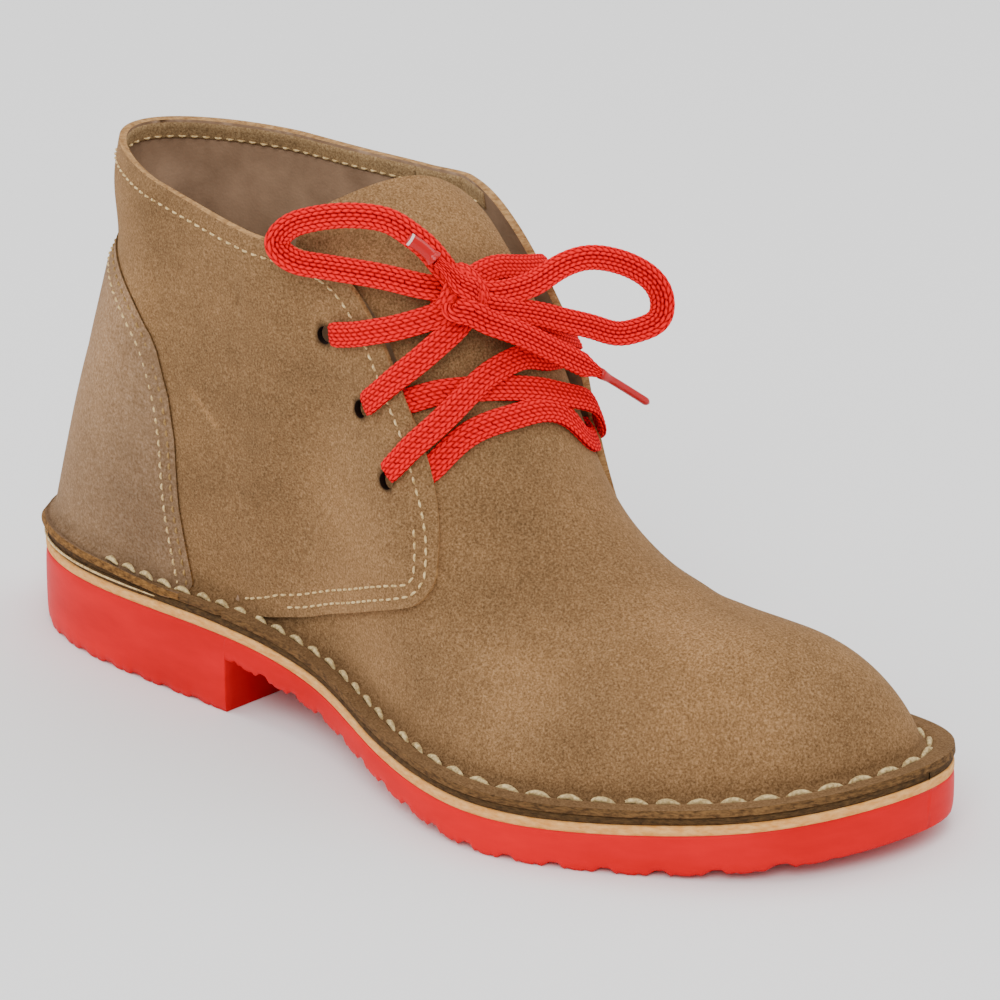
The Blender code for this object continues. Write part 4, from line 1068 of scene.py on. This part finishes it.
def build_quarter(side, thickness):
    """One quarter, from the seam at the back to its rounded front, with its eyelets."""
    grid = quarter_grid(side)
    faces = grid_faces(*grid.shape[:2])
    faces = faces if side == LATERAL else faces[:, ::-1]
    points, faces = welded(grid.reshape(-1, 3), faces)
    points[:, 1:2] -= side * crease(points)
    points, faces = open_eyelets(side, points, faces)
    holes = [eyelet_frame(side, x, z)[0] for x, z in EYELETS[side]]
    leather_panel("quarter_" + SIDES[side], points, faces, ("suede", "lining", "suede_edge"),
                  thickness, holes)


def counter_front(z):
    """Station of the counter's front edge at a height."""
    return np.interp(z, [row[1] for row in COUNTER_FRONT], [row[0] for row in COUNTER_FRONT])


def counter_top(station):
    """Height of the counter's upper edge at a station."""
    return np.interp(quarter_point(LATERAL, station, COUNTER_LEVEL)[:, 0], *COUNTER_EDGE.T)


def counter_sheet(side):
    """Stations and heights of the counter's half on one side, from the back to its front."""
    share = np.linspace(0, 1, 80)
    foot_x = quarter_point(side, share * COUNTER_FRONT[0][0], COUNTER_BASE)[:, 0]
    low = (flange_top(foot_x) + BEND + counter_foot(foot_x))[:, None]
    top = counter_top(share * COUNTER_FRONT[-1][0])[:, None]
    z = low + (top - low) * np.linspace(0, 1, 70)
    return share[:, None] * counter_front(z), z


def counter_lift(inset):
    """How far the counter stands out from the quarter: skived thin towards its sewn edge."""
    return OVERLAY * (0.3 + 0.7 * smoothstep(inset / 7))


def counter_foot(x):
    """How far the counter's foot lies above the quarter's: it is pared thin towards the front."""
    return COUNTER_PARED + COUNTER_FOOT * (1 - smoothstep((x - 46) / 30))


def build_counter(thickness):
    """The counter that wraps the heel, its foot turned out over the flange."""
    halves = []
    for side in SIDES:
        station, z = counter_sheet(side)
        inset = np.minimum(station.max(0) - station, z.max(1)[:, None] - z)
        lift = counter_lift(inset)[..., None]
        wall = quarter_point(side, station, z) + quarter_normal(side, np.maximum(station, 0.01), z) * lift
        wall[0, :, 1] = 0.0
        edge = quarter_edge(side, station[:, 0], wall[:, 0])
        edge = edge + unit(edge - wall[:, 0, :2]) * COUNTER_RIM
        lower = foot_path(edge, wall[:, 0])
        lower[..., 2] += wall[:, :1, 2] - lower[:, -1:, 2]
        halves.append(np.concatenate([lower, wall], 1))
    grid = np.concatenate([halves[0][::-1], halves[1][1:]], 0)
    points, faces = welded(grid.reshape(-1, 3), grid_faces(*grid.shape[:2])[:, ::-1])
    leather_panel("counter", points, faces, ("counter", "lining", "counter_edge"), thickness)


# ---------------------------------------------------------------------------------- stitches

def stitch_mesh(name, line, normals, seam, colour, lift=0.1, slant=0.0):
    """Stitches along a line: each is a short bead of thread that rises from the leather and
    dips back into it in half a sine wave, made of rings of points across it."""
    pitch, share, radius = seam
    path = np.hstack([line, normals])
    count = max(int(length_of(path) / pitch), 1)
    stops = evenly(path, 2 * count + 1)[1::2]
    along = unit(np.gradient(evenly(path, 20 * count + 1)[:, :3], axis=0)[10::20][:count])
    up = square_to(stops[:, 3:], along)
    across = np.cross(along, up)
    along, across = along + slant * across, across - slant * along
    t = np.linspace(0, 1, STITCH_RINGS)
    rise = np.sin(math.pi * t)
    turn = np.arange(STITCH_ROUND) * 2 * math.pi / STITCH_ROUND
    spine = (stops[:, None, :3] + along[:, None] * ((t - 0.5) * share * pitch)[:, None]
             + up[:, None] * (lift + radius * (1.1 * rise - 0.75))[:, None])
    thick = radius * (0.35 + 0.65 * rise ** 0.6)
    ring = across[:, None, None] * np.cos(turn)[:, None] + up[:, None, None] * np.sin(turn)[:, None]
    points = spine[:, :, None] + ring * thick[:, None, None]
    one = STITCH_RINGS * STITCH_ROUND
    first = one * np.arange(count)[:, None, None]
    ends = np.arange(one).reshape(STITCH_RINGS, STITCH_ROUND)[[0, -1]]
    ends[1] = ends[1][::-1]
    faces = (grid_faces(STITCH_RINGS, STITCH_ROUND, wrap=True) + first).reshape(-1, 4).tolist()
    faces += (ends + first).reshape(-1, STITCH_ROUND).tolist()
    closed_piece(name, points.reshape(-1, 3), faces, [finish(colour)], "suede")


def quarter_row(side, station, z):
    """A stitch line on a quarter with its normals."""
    return quarter_point(side, station, z), quarter_normal(side, station, z)


def front_outline(side, inset, low_x, top_x):
    """The quarter's rounded front outline, moved in by an inset, from low_x on the lower edge
    round to top_x on the topline."""
    top = TOP_EDGE[side]
    top = top[top[:, 0] > top_x][::-1]
    line = np.vstack([LOW_EDGE[LOW_EDGE[:, 0] > low_x], top[1:]])
    return line + left_of(unit(relaxed(np.gradient(line, axis=0), 60))) * inset


def counter_line(inset):
    """A line inside the counter's outline, from its foot up the front and back along its top,
    as stations and heights."""
    z, station = np.linspace(28, 90, 120), np.linspace(62.5, 1, 120)
    line = np.vstack([np.column_stack([counter_front(z), z]),
                      np.column_stack([station, counter_top(station)])])
    line = relaxed(line, 80)
    return line + left_of(direction(line)) * inset


def build_seams():
    """The sewn rows of the quarters, the topline and the counter."""
    for side, label in SIDES.items():

        def sew(name, station, z, seam, colour="thread", off=0.0, back=False):
            """Sews a row on this quarter, off above its face, or on its back."""
            points, normals = quarter_row(side, station, z)
            facing = -normals if back else normals
            stitch_mesh(f"{name}_{label}", points + normals * off, facing, seam, colour)

        def row(low_inset, top_inset, low_x, top_x, axis, start, run):
            """A row along the front whose inset changes as it climbs or goes forward."""
            low, top = (front_outline(side, inset, low_x, top_x) for inset in (low_inset, top_inset))
            return low + (top - low) * smoothstep((low[:, axis:axis + 1] - start) / run)

        sew("front_seam", *row(2.6, 4.3, 109, 121, 1, 60, 30).T, SEAM)
        line = row(5.9, 5.4, 108, 159, 0, 150, 10)
        sew("second_seam", *through([*SEAM_START, *line[line[:, 1] < 70][::12]], 300).T, SEAM)
        station = np.linspace(0.5, 121, 400)
        z = top_z(side, station) - TOPLINE_INSET
        sew("topline_seam", station, z, TOP_SEAM)
        sew("topline_seam_inside", station, z, TOP_SEAM, off=-SUEDE_WALL - COLLAR_BAND, back=True)
        for inset, tag, colour in ((2.0, "a", "dim_thread"), (4.6, "b", "thread")):
            sew("counter_seam_" + tag, *counter_line(inset).T, COUNTER_SEAM, colour, counter_lift(inset))


def build_collar_band():
    """The strip of suede sewn inside the collar along the topline."""
    for side, label in SIDES.items():
        station = np.linspace(0, 124, 260)
        drop, deep = np.transpose(COLLAR_DEPTHS)
        z = top_z(side, station)[:, None] - drop
        station = np.repeat(station[:, None], len(drop), 1)
        depth = SUEDE_WALL - 0.3 + COLLAR_BAND * deep
        grid = (quarter_point(side, station, z)
                - quarter_normal(side, np.maximum(station, 0.01), z) * depth[:, None])
        faces = grid_faces(*grid.shape[:2])
        points, faces = welded(grid.reshape(-1, 3), faces if side == LATERAL else faces[:, ::-1])
        band = make_piece("collar_band_" + label, points, faces, [finish("collar")], "suede",
                          ("upper",), [("tone", tone(points))])
        wall = band.modifiers.new("wall", "SOLIDIFY")
        wall.thickness = COLLAR_BAND * MM
        wall.offset = -1


def build_welt_stitch():
    """The big waxed stitch that holds the turned-out foot down, from the heel round the toe:
    shorter stitches at the waist, longer ones round the forefoot.  Each lies a little askew
    in the groove at the foot of the wall, and out on the counter's foot where that covers it."""
    ring = inner_ring(lambda x: column(FLANGE_WIDTH, 1, x) - STITCH_INSET
                      - 1.5 * smoothstep((COUNTER_OVER - x) / 5))
    start = int(np.argmin(np.abs(ring[:, 0] - WELT_START) + 100 * (ring[:, 1] > 0)))
    ring = np.roll(ring, -start, axis=0)
    ring = ring[:int(np.nonzero((ring[:, 0] < WELT_START) & (ring[:, 1] > 0))[0][0])]
    x = ring[:, 0]
    rise = smoothstep((COUNTER_OVER - x) / 4) * (counter_foot(x) + 0.45)
    points = np.column_stack([ring, flange_top(x) - 0.35 + rise])
    first, last = np.nonzero(x > WELT_BALL)[0][[0, -1]]
    for label, line, seam in (("waist_outer", points[:first], WELT_WAIST),
                              ("forefoot", points[first:last], WELT_FRONT),
                              ("waist_inner", points[last:], WELT_WAIST)):
        normals = np.tile([0.0, 0.0, 1.0], (len(line), 1))
        stitch_mesh("welt_stitch_" + label, line, normals, seam, "welt_thread", WELT_LIFT, WELT_SLANT)


def build_edge_thread():
    """A waxed thread that lies along the dark layer's side at the heel, beside the rim of the
    counter's foot; it thins out at its ends."""
    line = EDGE[(EDGE[:, 1] < 0) & (EDGE[:, 0] > 2) & (EDGE[:, 0] < 66)]
    line = evenly(line[np.argsort(line[:, 0])], 90)
    out = -left_of(direction(line))
    height = flange_top(line[:, 0]) - FLANGE - GAP - RUNNER * 0.3
    fine = 0.34 * np.sin(np.linspace(0.12, math.pi - 0.12, 90)) ** 0.4
    path = np.column_stack([line + out * 0.15, height])
    side, up = np.column_stack([out, 0 * height]), np.tile([0.0, 0.0, 1.0], (90, 1))
    closed_piece("edge_thread", *tube(path, side, up, fine, 8), [finish("thread")], "suede")


# ----------------------------------------------------------------------------------- the sole

def sole_stations(step, ring=EDGE, first=0.09, rows=60):
    """x of the sections of the sole, closing up towards the heel's back and the toe's tip."""
    low, high = float(ring[:, 0].min()), float(ring[:, 0].max())
    ease = np.linspace(first, math.sqrt(END_RUN), rows)
    middle = np.arange(low + END_RUN + step, high - END_RUN, step)
    return np.concatenate([low + ease ** 2, middle, (high - ease ** 2)[::-1]])


def slab(name, xs, ring, low, high, swell, material, slot, node, bottom_rows=4, rows=7):
    """A layer of the sole: sections across it at each x, with an eased edge that swells out
    by swell at mid height.  low and high are functions of x and of the share across."""
    ease = np.linspace(-1, 1, rows)
    wall = swell * (1 - np.abs(ease) ** 3) - 0.25 * np.abs(ease) ** 8
    across = np.linspace(0, 1, bottom_rows + 2)[1:-1]
    left, right = ring_y(ring, LATERAL, xs), ring_y(ring, MEDIAL, xs)
    narrow = np.clip((right - left) / 6, 0, 1)

    def run(y, z):
        return np.stack([np.broadcast_to(xs[:, None], y.shape), y, z], -1)

    share = (ease + 1) / 2
    up_z = low(xs, 0)[:, None] * (1 - share) + high(xs)[:, None] * share
    down_z = low(xs, 1)[:, None] * (1 - share[::-1]) + high(xs)[:, None] * share[::-1]
    top_y = left[:, None] + (right - left)[:, None] * across
    grid = np.concatenate([
        run(left[:, None] - wall * narrow[:, None], up_z),
        run(top_y, np.broadcast_to(high(xs)[:, None], top_y.shape)),
        run(right[:, None] + wall[::-1] * narrow[:, None], down_z),
        run(top_y[:, ::-1], np.stack([low(xs, c) for c in across[::-1]], -1))], 1)
    closed_piece(name, grid.reshape(-1, 3), capped(*grid.shape[:2]), [finish(material)], slot, (node,))


def ground(x):
    """Height of the rubber's underside without its ribs: flat heel, rising arch, flat ball,
    and a toe that springs up."""
    arch = ARCH_RISE * (1 - np.clip((x - BREAST - 2) / (BALL_FLAT[0] - BREAST - 2), 0, 1)) ** 1.2
    toe = TOE_SPRING * (np.clip(x - BALL_FLAT[1], 0, None) / (TOE_END - BALL_FLAT[1])) ** 1.8
    return np.where(x <= BREAST, 0.0, np.where(x < BALL_FLAT[0], arch, toe))


def tread(x, across):
    """Ribs across the sole: flat crowns and rounded grooves, a little uneven along each."""
    start = np.where(x < BREAST, 5.5, BREAST + 5)
    phase = ((x - start) % RIB_PITCH + 0.25 * math.sin(9 * across)) % RIB_PITCH
    start, end, run = RIB_GROOVE
    groove = smoothstep((phase - start) / run) * (1 - smoothstep((phase - end) / run))
    knurl = KNURL * smoothstep((np.sin(x * 2 * math.pi / KNURL_PITCH + 5 * across) - 0.2) / 0.6)
    ends = smoothstep((x - 4) / 3) * (1 - smoothstep((x - 264) / 4))
    near_breast = 1 - smoothstep((4 - np.abs(x - BREAST)) / 2)
    depth = np.where(x < BREAST, 0.55, 0.9) * RIB_DEPTH
    return (depth * groove + knurl * (1 - groove)) * ends * near_breast


def build_outsole():
    """The moulded unit sole with its heel, arch and ribs."""
    xs = np.unique(np.concatenate([sole_stations(0.55), BREAST + np.array([-0.6, -0.1, 0, 0.4, 1, 2])]))
    top = lambda x: column(RUBBER_TOP, 1, x)
    low = lambda x, across: np.minimum(ground(x) + tread(x, across), top(x) - 2)
    slab("outsole_rubber", xs, EDGE, low, top, 0.35, "rubber", "rubber", "outsole", 26, 13)


def build_layers():
    """Midsole, runner and insole: three leathers between the rubber and the upper."""
    rubber = lambda x: column(RUBBER_TOP, 1, x)
    xs = sole_stations(1.4)
    wave = lambda x: 0.10 * np.sin(x / 9.0) + 0.05 * np.sin(x / 3.1)
    slab("midsole_leather", xs, EDGE, lambda x, a: rubber(x) + 0.02, lambda x: rubber(x) + GAP + MIDSOLE,
         0.15, "midsole", "midsole", "midsole")
    start = lambda x: rubber(x) + 2 * GAP + MIDSOLE
    slab("runner_leather", xs, inner_ring(lambda x: 0.5 + wave(x)), lambda x, a: start(x) - 0.25,
         lambda x: start(x) + RUNNER + 0.1, 0.25, "runner", "runner", "runner")
    ring = inner_ring(lambda x: column(FLANGE_WIDTH, 1, x) + 3.7 + 1.4 * (x < HEEL_X))
    slab("insole_leather", sole_stations(2, ring, 0.3, 30), ring, lambda x, a: start(x) + RUNNER + GAP,
         lambda x: start(x) + RUNNER + GAP + INSOLE, 0.1, "insole", "insole", "insole")


# ------------------------------------------------------------------------------------ the lace

def braid_relief(u, v):
    """Height of the braid from 0 to 1: columns of slanting oval stitches run along the lace,
    leaning left and right by turns, and each column is half a stitch behind the last."""
    column_number = np.floor(v / BRAID_COLUMN)
    across = v / BRAID_COLUMN - column_number - 0.5
    lean = 1 - 2 * (column_number % 2)
    phase = (u / BRAID_STITCH + lean * BRAID_SLANT * across + 0.5 * column_number) % 1
    return np.sin(math.pi * phase) ** 0.55 * np.cos(math.pi * across) ** 0.45


def ribbon(path, facing, width, thick, step=RIBBON_STEP, around=RIBBON_ROUND):
    """A flat braid along a path: its section is a superellipse whose broad side looks along
    facing, with the braid's relief raised on it.  Returns points, faces and relief."""
    count = max(int(length_of(path) / step), 8)
    line = evenly(np.hstack([path, facing]), count)
    centre = line[:, :3]
    along = direction(centre)
    up = square_to(line[:, 3:], along)
    across = np.cross(up, along)
    turn = np.arange(around) * 2 * math.pi / around
    c, s = np.cos(turn), np.sin(turn)
    flat, high = np.sign(c) * np.abs(c) ** 0.8, np.sign(s) * np.abs(s) ** 0.5
    rim = walked(np.column_stack([flat * np.max(width), high * thick]) / 2)
    u = np.linspace(0, length_of(centre), count)[:, None]
    laps = max(round(rim[-1] * 1.02 / (2 * BRAID_COLUMN)), 1) * 2 * BRAID_COLUMN
    relief = braid_relief(u, rim * laps / (rim[-1] * around / (around - 1)))
    swell = 1 + BRAID_HIGH * (relief - BRAID_MEAN)
    width = np.atleast_1d(np.asarray(width, float))
    wide = np.interp(np.linspace(0, 1, count), np.linspace(0, 1, len(width)), width)[:, None]
    sideways = flat * wide / 2 * (1 + BRAID_WIDE * (relief - BRAID_MEAN))
    points = (centre[:, None] + across[:, None] * sideways[..., None]
              + up[:, None] * (high * thick / 2 * swell)[..., None])
    return points.reshape(-1, 3), capped(count, around), relief.ravel()


def lace_piece(name, path, facing, replaced, width):
    """One run of the braid as a piece."""
    points, faces, relief = ribbon(path, facing, width, LACE_THICK)
    return closed_piece(name, points, faces, [finish("lace")], "lace", replaced, [("relief", relief)])


def gathered(full, length, start, end, narrow):
    """Widths along a run of lace: full, and gathered over the given lengths at its ends."""
    at = np.linspace(0, length, 60)
    width = np.full(60, full)
    if start:
        width *= narrow + (1 - narrow) * smoothstep(at / start)
    if end:
        width *= narrow + (1 - narrow) * smoothstep((length - at) / end)
    return width


def broad_side(path, normals, start, end):
    """Directions for the lace's broad side along a path that bends into holes: its width
    holds still over the given lengths at the ends, as a ribbon folds over an edge."""
    along, way = direction(path), walked(path)
    across = np.cross(normals, along)
    if start:
        across[way < start] = across[way >= start][0]
    if end:
        across[way > way[-1] - end] = across[way <= way[-1] - end][-1]
    return np.cross(along, across)


def build_crossings(width):
    """The runs of lace between the eyelets, flat side on the foot and gathered where they
    pass through leather."""
    runs = (
        # name, route, node, gathered at start, gathered at end
        ("lace_bar", BAR, "lace_lower", 0, 0), ("lace_cross_high", CROSS_HIGH, "lace_lower", 0, 6),
        ("lace_cross_low", CROSS_LOW, "lace_lower", 6, 0),
        ("lace_mid_outer", MID_OUTER, "lace_upper", 6, 0),
        ("lace_mid_inner", MID_INNER, "lace_upper", 0, 6),
        ("lace_top_outer", TOP_OUTER, "lace_upper", 6, 0),
        ("lace_top_inner", TOP_INNER, "lace_upper", 0, 6),
    )
    for name, route, node, start, end in runs:
        path = through(route, 90)
        facing = foot_normal(path)
        if route in FLAP_ROUTES:
            further = standoff(path[:, 0], path[:, 2]) - ROUTED_STANDOFF
            path[:, 1] += further * smoothstep((path[:, 1] - 8) / 20)
        facing = broad_side(path, facing, start, end)
        widths = gathered(width, length_of(path), start, end, RUN_NARROW)
        lace_piece(name, path, facing, (node,), widths)


def build_cord(name, loop, wrap, end, nodes, taper, width):
    """One half of the bow: a loop, its wrap over the knot and its free end, which narrows
    into its sleeve.  Its broad side faces outward, tips towards the sky along the way, and
    turns away from the knot's middle where it wraps it."""
    path = through(loop + wrap + end, 260)
    skyward = np.linspace(0.0, BOW_TWIST, len(path))[:, None] * np.array([0.0, 0.0, 1.0])
    from_knot = path - np.array(KNOT_CENTRE)
    near = 1 - smoothstep((np.linalg.norm(from_knot, axis=1) - 5) / 7)
    facing = (unit(np.array(BOW_FACING) + skyward)
              + near[:, None] * (from_knot + np.array(KNOT_FACING) * 3) * 0.25)
    length = length_of(path)
    made = lace_piece(name, path, facing, nodes, gathered(width, length, 0, taper, END_NARROW))
    return made


def aglet_piece(name, route, node, diameter):
    """A clear sleeve shrunk over the lace's end: a tapering tube with a rounded tip.  Near its tip the
    loose sleeve has a few rings painted near-white, a painted glint."""
    path = through(route, AGLET_RINGS)
    along = direction(path)
    side = unit(np.cross(along, [0.3, 0.2, 1.0]))
    t = np.linspace(0, 1, AGLET_RINGS)
    flare, tip = 1 + 0.35 * (1 - smoothstep(t / 0.2)), (1 - smoothstep((t - 0.93) / 0.09)) ** 0.5
    wide = np.maximum(diameter / 2 * flare * tip, 0.25)
    points, faces = tube(path, side, np.cross(side, along), wide, AGLET_ROUND)
    made = closed_piece(name, points, faces, [finish("aglet"), finish("tip")], "aglet", (node,))
    # rings near the loose sleeve's tip take the near-white finish, a painted glint
    if diameter == AGLET_LOOSE:
        made.data.polygons.foreach_set(
            "material_index", [int(k // AGLET_ROUND in AGLET_GLINT_RINGS) for k in range(len(faces))])
    return made


def build_knot():
    """The knot: two wraps of the lace drawn tight, each a closed oval band with its own tilt."""
    centre, out = np.array(KNOT_CENTRE), unit(np.array(KNOT_FACING))
    wide = unit(np.cross([0.0, 0.0, 1.0], out))
    rise = np.cross(out, wide)
    parts, relief, faces, count = [], [], [], 0
    turn = np.linspace(0, 2 * math.pi, 120)[:-1]
    turn = np.concatenate([turn, turn[:4]])[:, None]
    for tilt, depth, reach, shift, width in KNOT_WRAPS:
        axis = wide * math.cos(tilt) + rise * math.sin(tilt)
        cross = np.cross(axis, out)
        loop = centre + axis * shift + out * depth * np.cos(turn) + cross * reach * np.sin(turn)
        facing = out * np.cos(turn) / depth + cross * np.sin(turn) / reach
        points, quads, values = ribbon(loop, facing, width, KNOT_THICK, KNOT_STEP, KNOT_ROUND)
        faces += [[k + count for k in face] for face in quads]
        parts.append(points)
        relief.append(values)
        count += len(points)
    closed_piece("knot", np.concatenate(parts), faces, [finish("lace")], "lace",
                 ("lace_knot",), [("relief", np.concatenate(relief))])


# --------------------------------------------------------------------------- stage and camera

LIGHTS = (
    # name, place, size, power
    ("key", (0.9, -1.3, 1.5), 1.2, 28), ("fill", (-1.6, -0.9, 1.0), 1.6, 16),
    ("top", (0.0, 0.3, 2.0), 1.6, 18), ("rim", (0.6, 1.6, 1.2), 1.2, 12),
)
LIT_POINT = (0.0, 0.0, 0.05)
VIEW_POINT = (123.2, 32.7, 48.0)
FLOOR_HALF, FLOOR_LEVEL = 6, -0.0002


def aimed(name, data, location, way):
    """A light or a camera at a place, looking along a way."""
    made = bpy.data.objects.new(name, data)
    bpy.context.scene.collection.objects.link(made)
    made.location = location
    made.rotation_euler = way.to_track_quat("-Z", "Y").to_euler()
    return made


def add_light(name, location, size, energy):
    """A soft square light that looks at the shoe."""
    data = bpy.data.lights.new(name, "AREA")
    data.shape = "SQUARE"
    data.size = size
    data.energy = energy
    aimed(name, data, location, Vector(LIT_POINT) - Vector(location))


class VellieSizes(bpy.types.PropertyGroup):
    """Sizes of the leather and the lace."""
    wall: bpy.props.FloatProperty(name="Suede thickness", description="Thickness of the suede panels",
                                  default=SUEDE_WALL * MM, unit="LENGTH")
    lace: bpy.props.FloatProperty(name="Lace width", description="Width of the flat lace",
                                  default=LACE_WIDTH * MM, unit="LENGTH")


class VellieStage(bpy.types.PropertyGroup):
    """The view and the backdrop."""
    azimuth: bpy.props.FloatProperty(name="Azimuth", description="Turn of the camera round the shoe",
                                     default=math.radians(44.0), subtype="ANGLE")
    elevation: bpy.props.FloatProperty(name="Elevation", description="Height of the camera's view",
                                       default=math.radians(21.6), subtype="ANGLE")
    distance: bpy.props.FloatProperty(name="Distance", description="Camera to target",
                                      default=1.3, unit="LENGTH")
    lens: bpy.props.FloatProperty(name="Lens", description="Focal length", default=181.7)
    floor: bpy.props.FloatVectorProperty(name="Floor", description="Colour of the floor",
                                         default=(0.92, 0.92, 0.92), subtype="COLOR")


class OBJECT_OT_vellie_stage(bpy.types.Operator):
    """Camera, floor and soft studio light"""
    bl_idname = "vellie.stage"
    bl_label = "Stage"

    def execute(self, context):
        view = context.scene.vellie_stage
        target = Vector(place(VIEW_POINT).tolist())
        a, e = view.azimuth, view.elevation
        back = Vector((math.sin(a) * math.cos(e), -math.cos(a) * math.cos(e), math.sin(e)))
        data = bpy.data.cameras.new("camera")
        data.sensor_width = 36
        data.lens = view.lens
        data.clip_start, data.clip_end = 0.05, 20
        context.scene.camera = aimed("camera", data, target + back * view.distance, -back)

        mesh = bpy.data.meshes.new("floor")
        corners = ((-1, -1), (1, -1), (1, 1), (-1, 1))
        mesh.from_pydata([(x * FLOOR_HALF, y * FLOOR_HALF, FLOOR_LEVEL) for x, y in corners], [],
                         [(0, 1, 2, 3)])
        floor = bpy.data.objects.new("floor", mesh)
        mesh.materials.append(new_material("matt_backdrop", 0.9, Specular_IOR_Level=0.1,
                                           Base_Color=(*view.floor, 1))[0])
        context.scene.collection.objects.link(floor)
        floor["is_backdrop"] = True

        world = bpy.data.worlds.new("studio")
        world.use_nodes = True
        sky = world.node_tree.nodes["Background"].inputs
        sky["Color"].default_value = (1, 1, 1, 1)
        sky["Strength"].default_value = 0.75
        context.scene.world = world
        for light in LIGHTS:
            add_light(*light)
        return {"FINISHED"}


class OBJECT_OT_vellie_lace(bpy.types.Operator):
    """The flat braided lace: crossings, knot, bow and sleeves"""
    bl_idname = "vellie.lace"
    bl_label = "Lace"

    def execute(self, context):
        width = context.scene.vellie_sizes.lace / MM
        outer = aglet_piece("aglet_left", AGLET_A, "aglet_outer", AGLET_LOOSE)
        inner = aglet_piece("aglet_right", AGLET_B, "aglet_inner", AGLET_TIGHT)
        build_cord("bow_left", LEFT_LOOP, LEFT_WRAP, END_A, ("bow_loop_outer", "lace_end_outer"),
                   14, width)
        build_cord("bow_right", RIGHT_LOOP, RIGHT_WRAP, END_B, ("bow_loop_inner", "lace_end_inner"),
                   7, width)
        build_knot()
        build_crossings(width)
        return {"FINISHED"}


class OBJECT_OT_vellie_upper(bpy.types.Operator):
    """Suede vamp with its tongue, the two quarters and the counter"""
    bl_idname = "vellie.upper"
    bl_label = "Upper"

    def execute(self, context):
        wall = context.scene.vellie_sizes.wall / MM
        build_vamp(wall)
        for side in SIDES:
            build_quarter(side, wall)
        build_counter(wall)
        build_collar_band()
        return {"FINISHED"}


class OBJECT_OT_vellie_seams(bpy.types.Operator):
    """Every sewn row and the big welt stitch"""
    bl_idname = "vellie.seams"
    bl_label = "Seams"

    def execute(self, context):
        build_seams()
        build_welt_stitch()
        build_edge_thread()
        return {"FINISHED"}


class OBJECT_OT_vellie_sole(bpy.types.Operator):
    """Rubber sole, midsole, runner and insole"""
    bl_idname = "vellie.sole"
    bl_label = "Sole"

    def execute(self, context):
        build_outsole()
        build_layers()
        return {"FINISHED"}


class VIEW3D_PT_vellie(bpy.types.Panel):
    """Lists the shoe's pieces and sizes"""
    bl_label = "Vellie shoe"
    bl_space_type = "VIEW_3D"
    bl_region_type = "UI"
    bl_category = "Vellie shoe"

    def draw(self, context):
        layout = self.layout
        for name in ("wall", "lace"):
            layout.prop(context.scene.vellie_sizes, name)
        for name in ("azimuth", "elevation", "distance", "lens", "floor"):
            layout.prop(context.scene.vellie_stage, name)
        for operator in OPERATORS:
            layout.operator(operator.bl_idname)


OPERATORS = (OBJECT_OT_vellie_stage, OBJECT_OT_vellie_lace, OBJECT_OT_vellie_upper,
             OBJECT_OT_vellie_seams, OBJECT_OT_vellie_sole)
CLASSES = (VellieSizes, VellieStage, *OPERATORS, VIEW3D_PT_vellie)


def register():
    """Makes the sizes, operators and panel known to Blender."""
    for cls in CLASSES:
        bpy.utils.register_class(cls)
    bpy.types.Scene.vellie_sizes = bpy.props.PointerProperty(type=VellieSizes)
    bpy.types.Scene.vellie_stage = bpy.props.PointerProperty(type=VellieStage)


def unregister():
    """Takes them away again."""
    del bpy.types.Scene.vellie_stage
    del bpy.types.Scene.vellie_sizes
    for cls in reversed(CLASSES):
        bpy.utils.unregister_class(cls)


def main():
    """Builds the stage, the lace, the upper, its seams and the sole, and works out the sizes of the
    imported model and of the built scene.
    """
    register()
    bpy.ops.vellie.stage()
    bpy.ops.vellie.lace()
    bpy.ops.vellie.upper()
    bpy.ops.vellie.seams()
    bpy.ops.vellie.sole()
    bpy.context.view_layer.update()
    low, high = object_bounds()
    sizes = {"cad": [list(corner) for corner in CAD_BOX], "visual": [list(low), list(high)]}


if __name__ == "__main__":
    main()
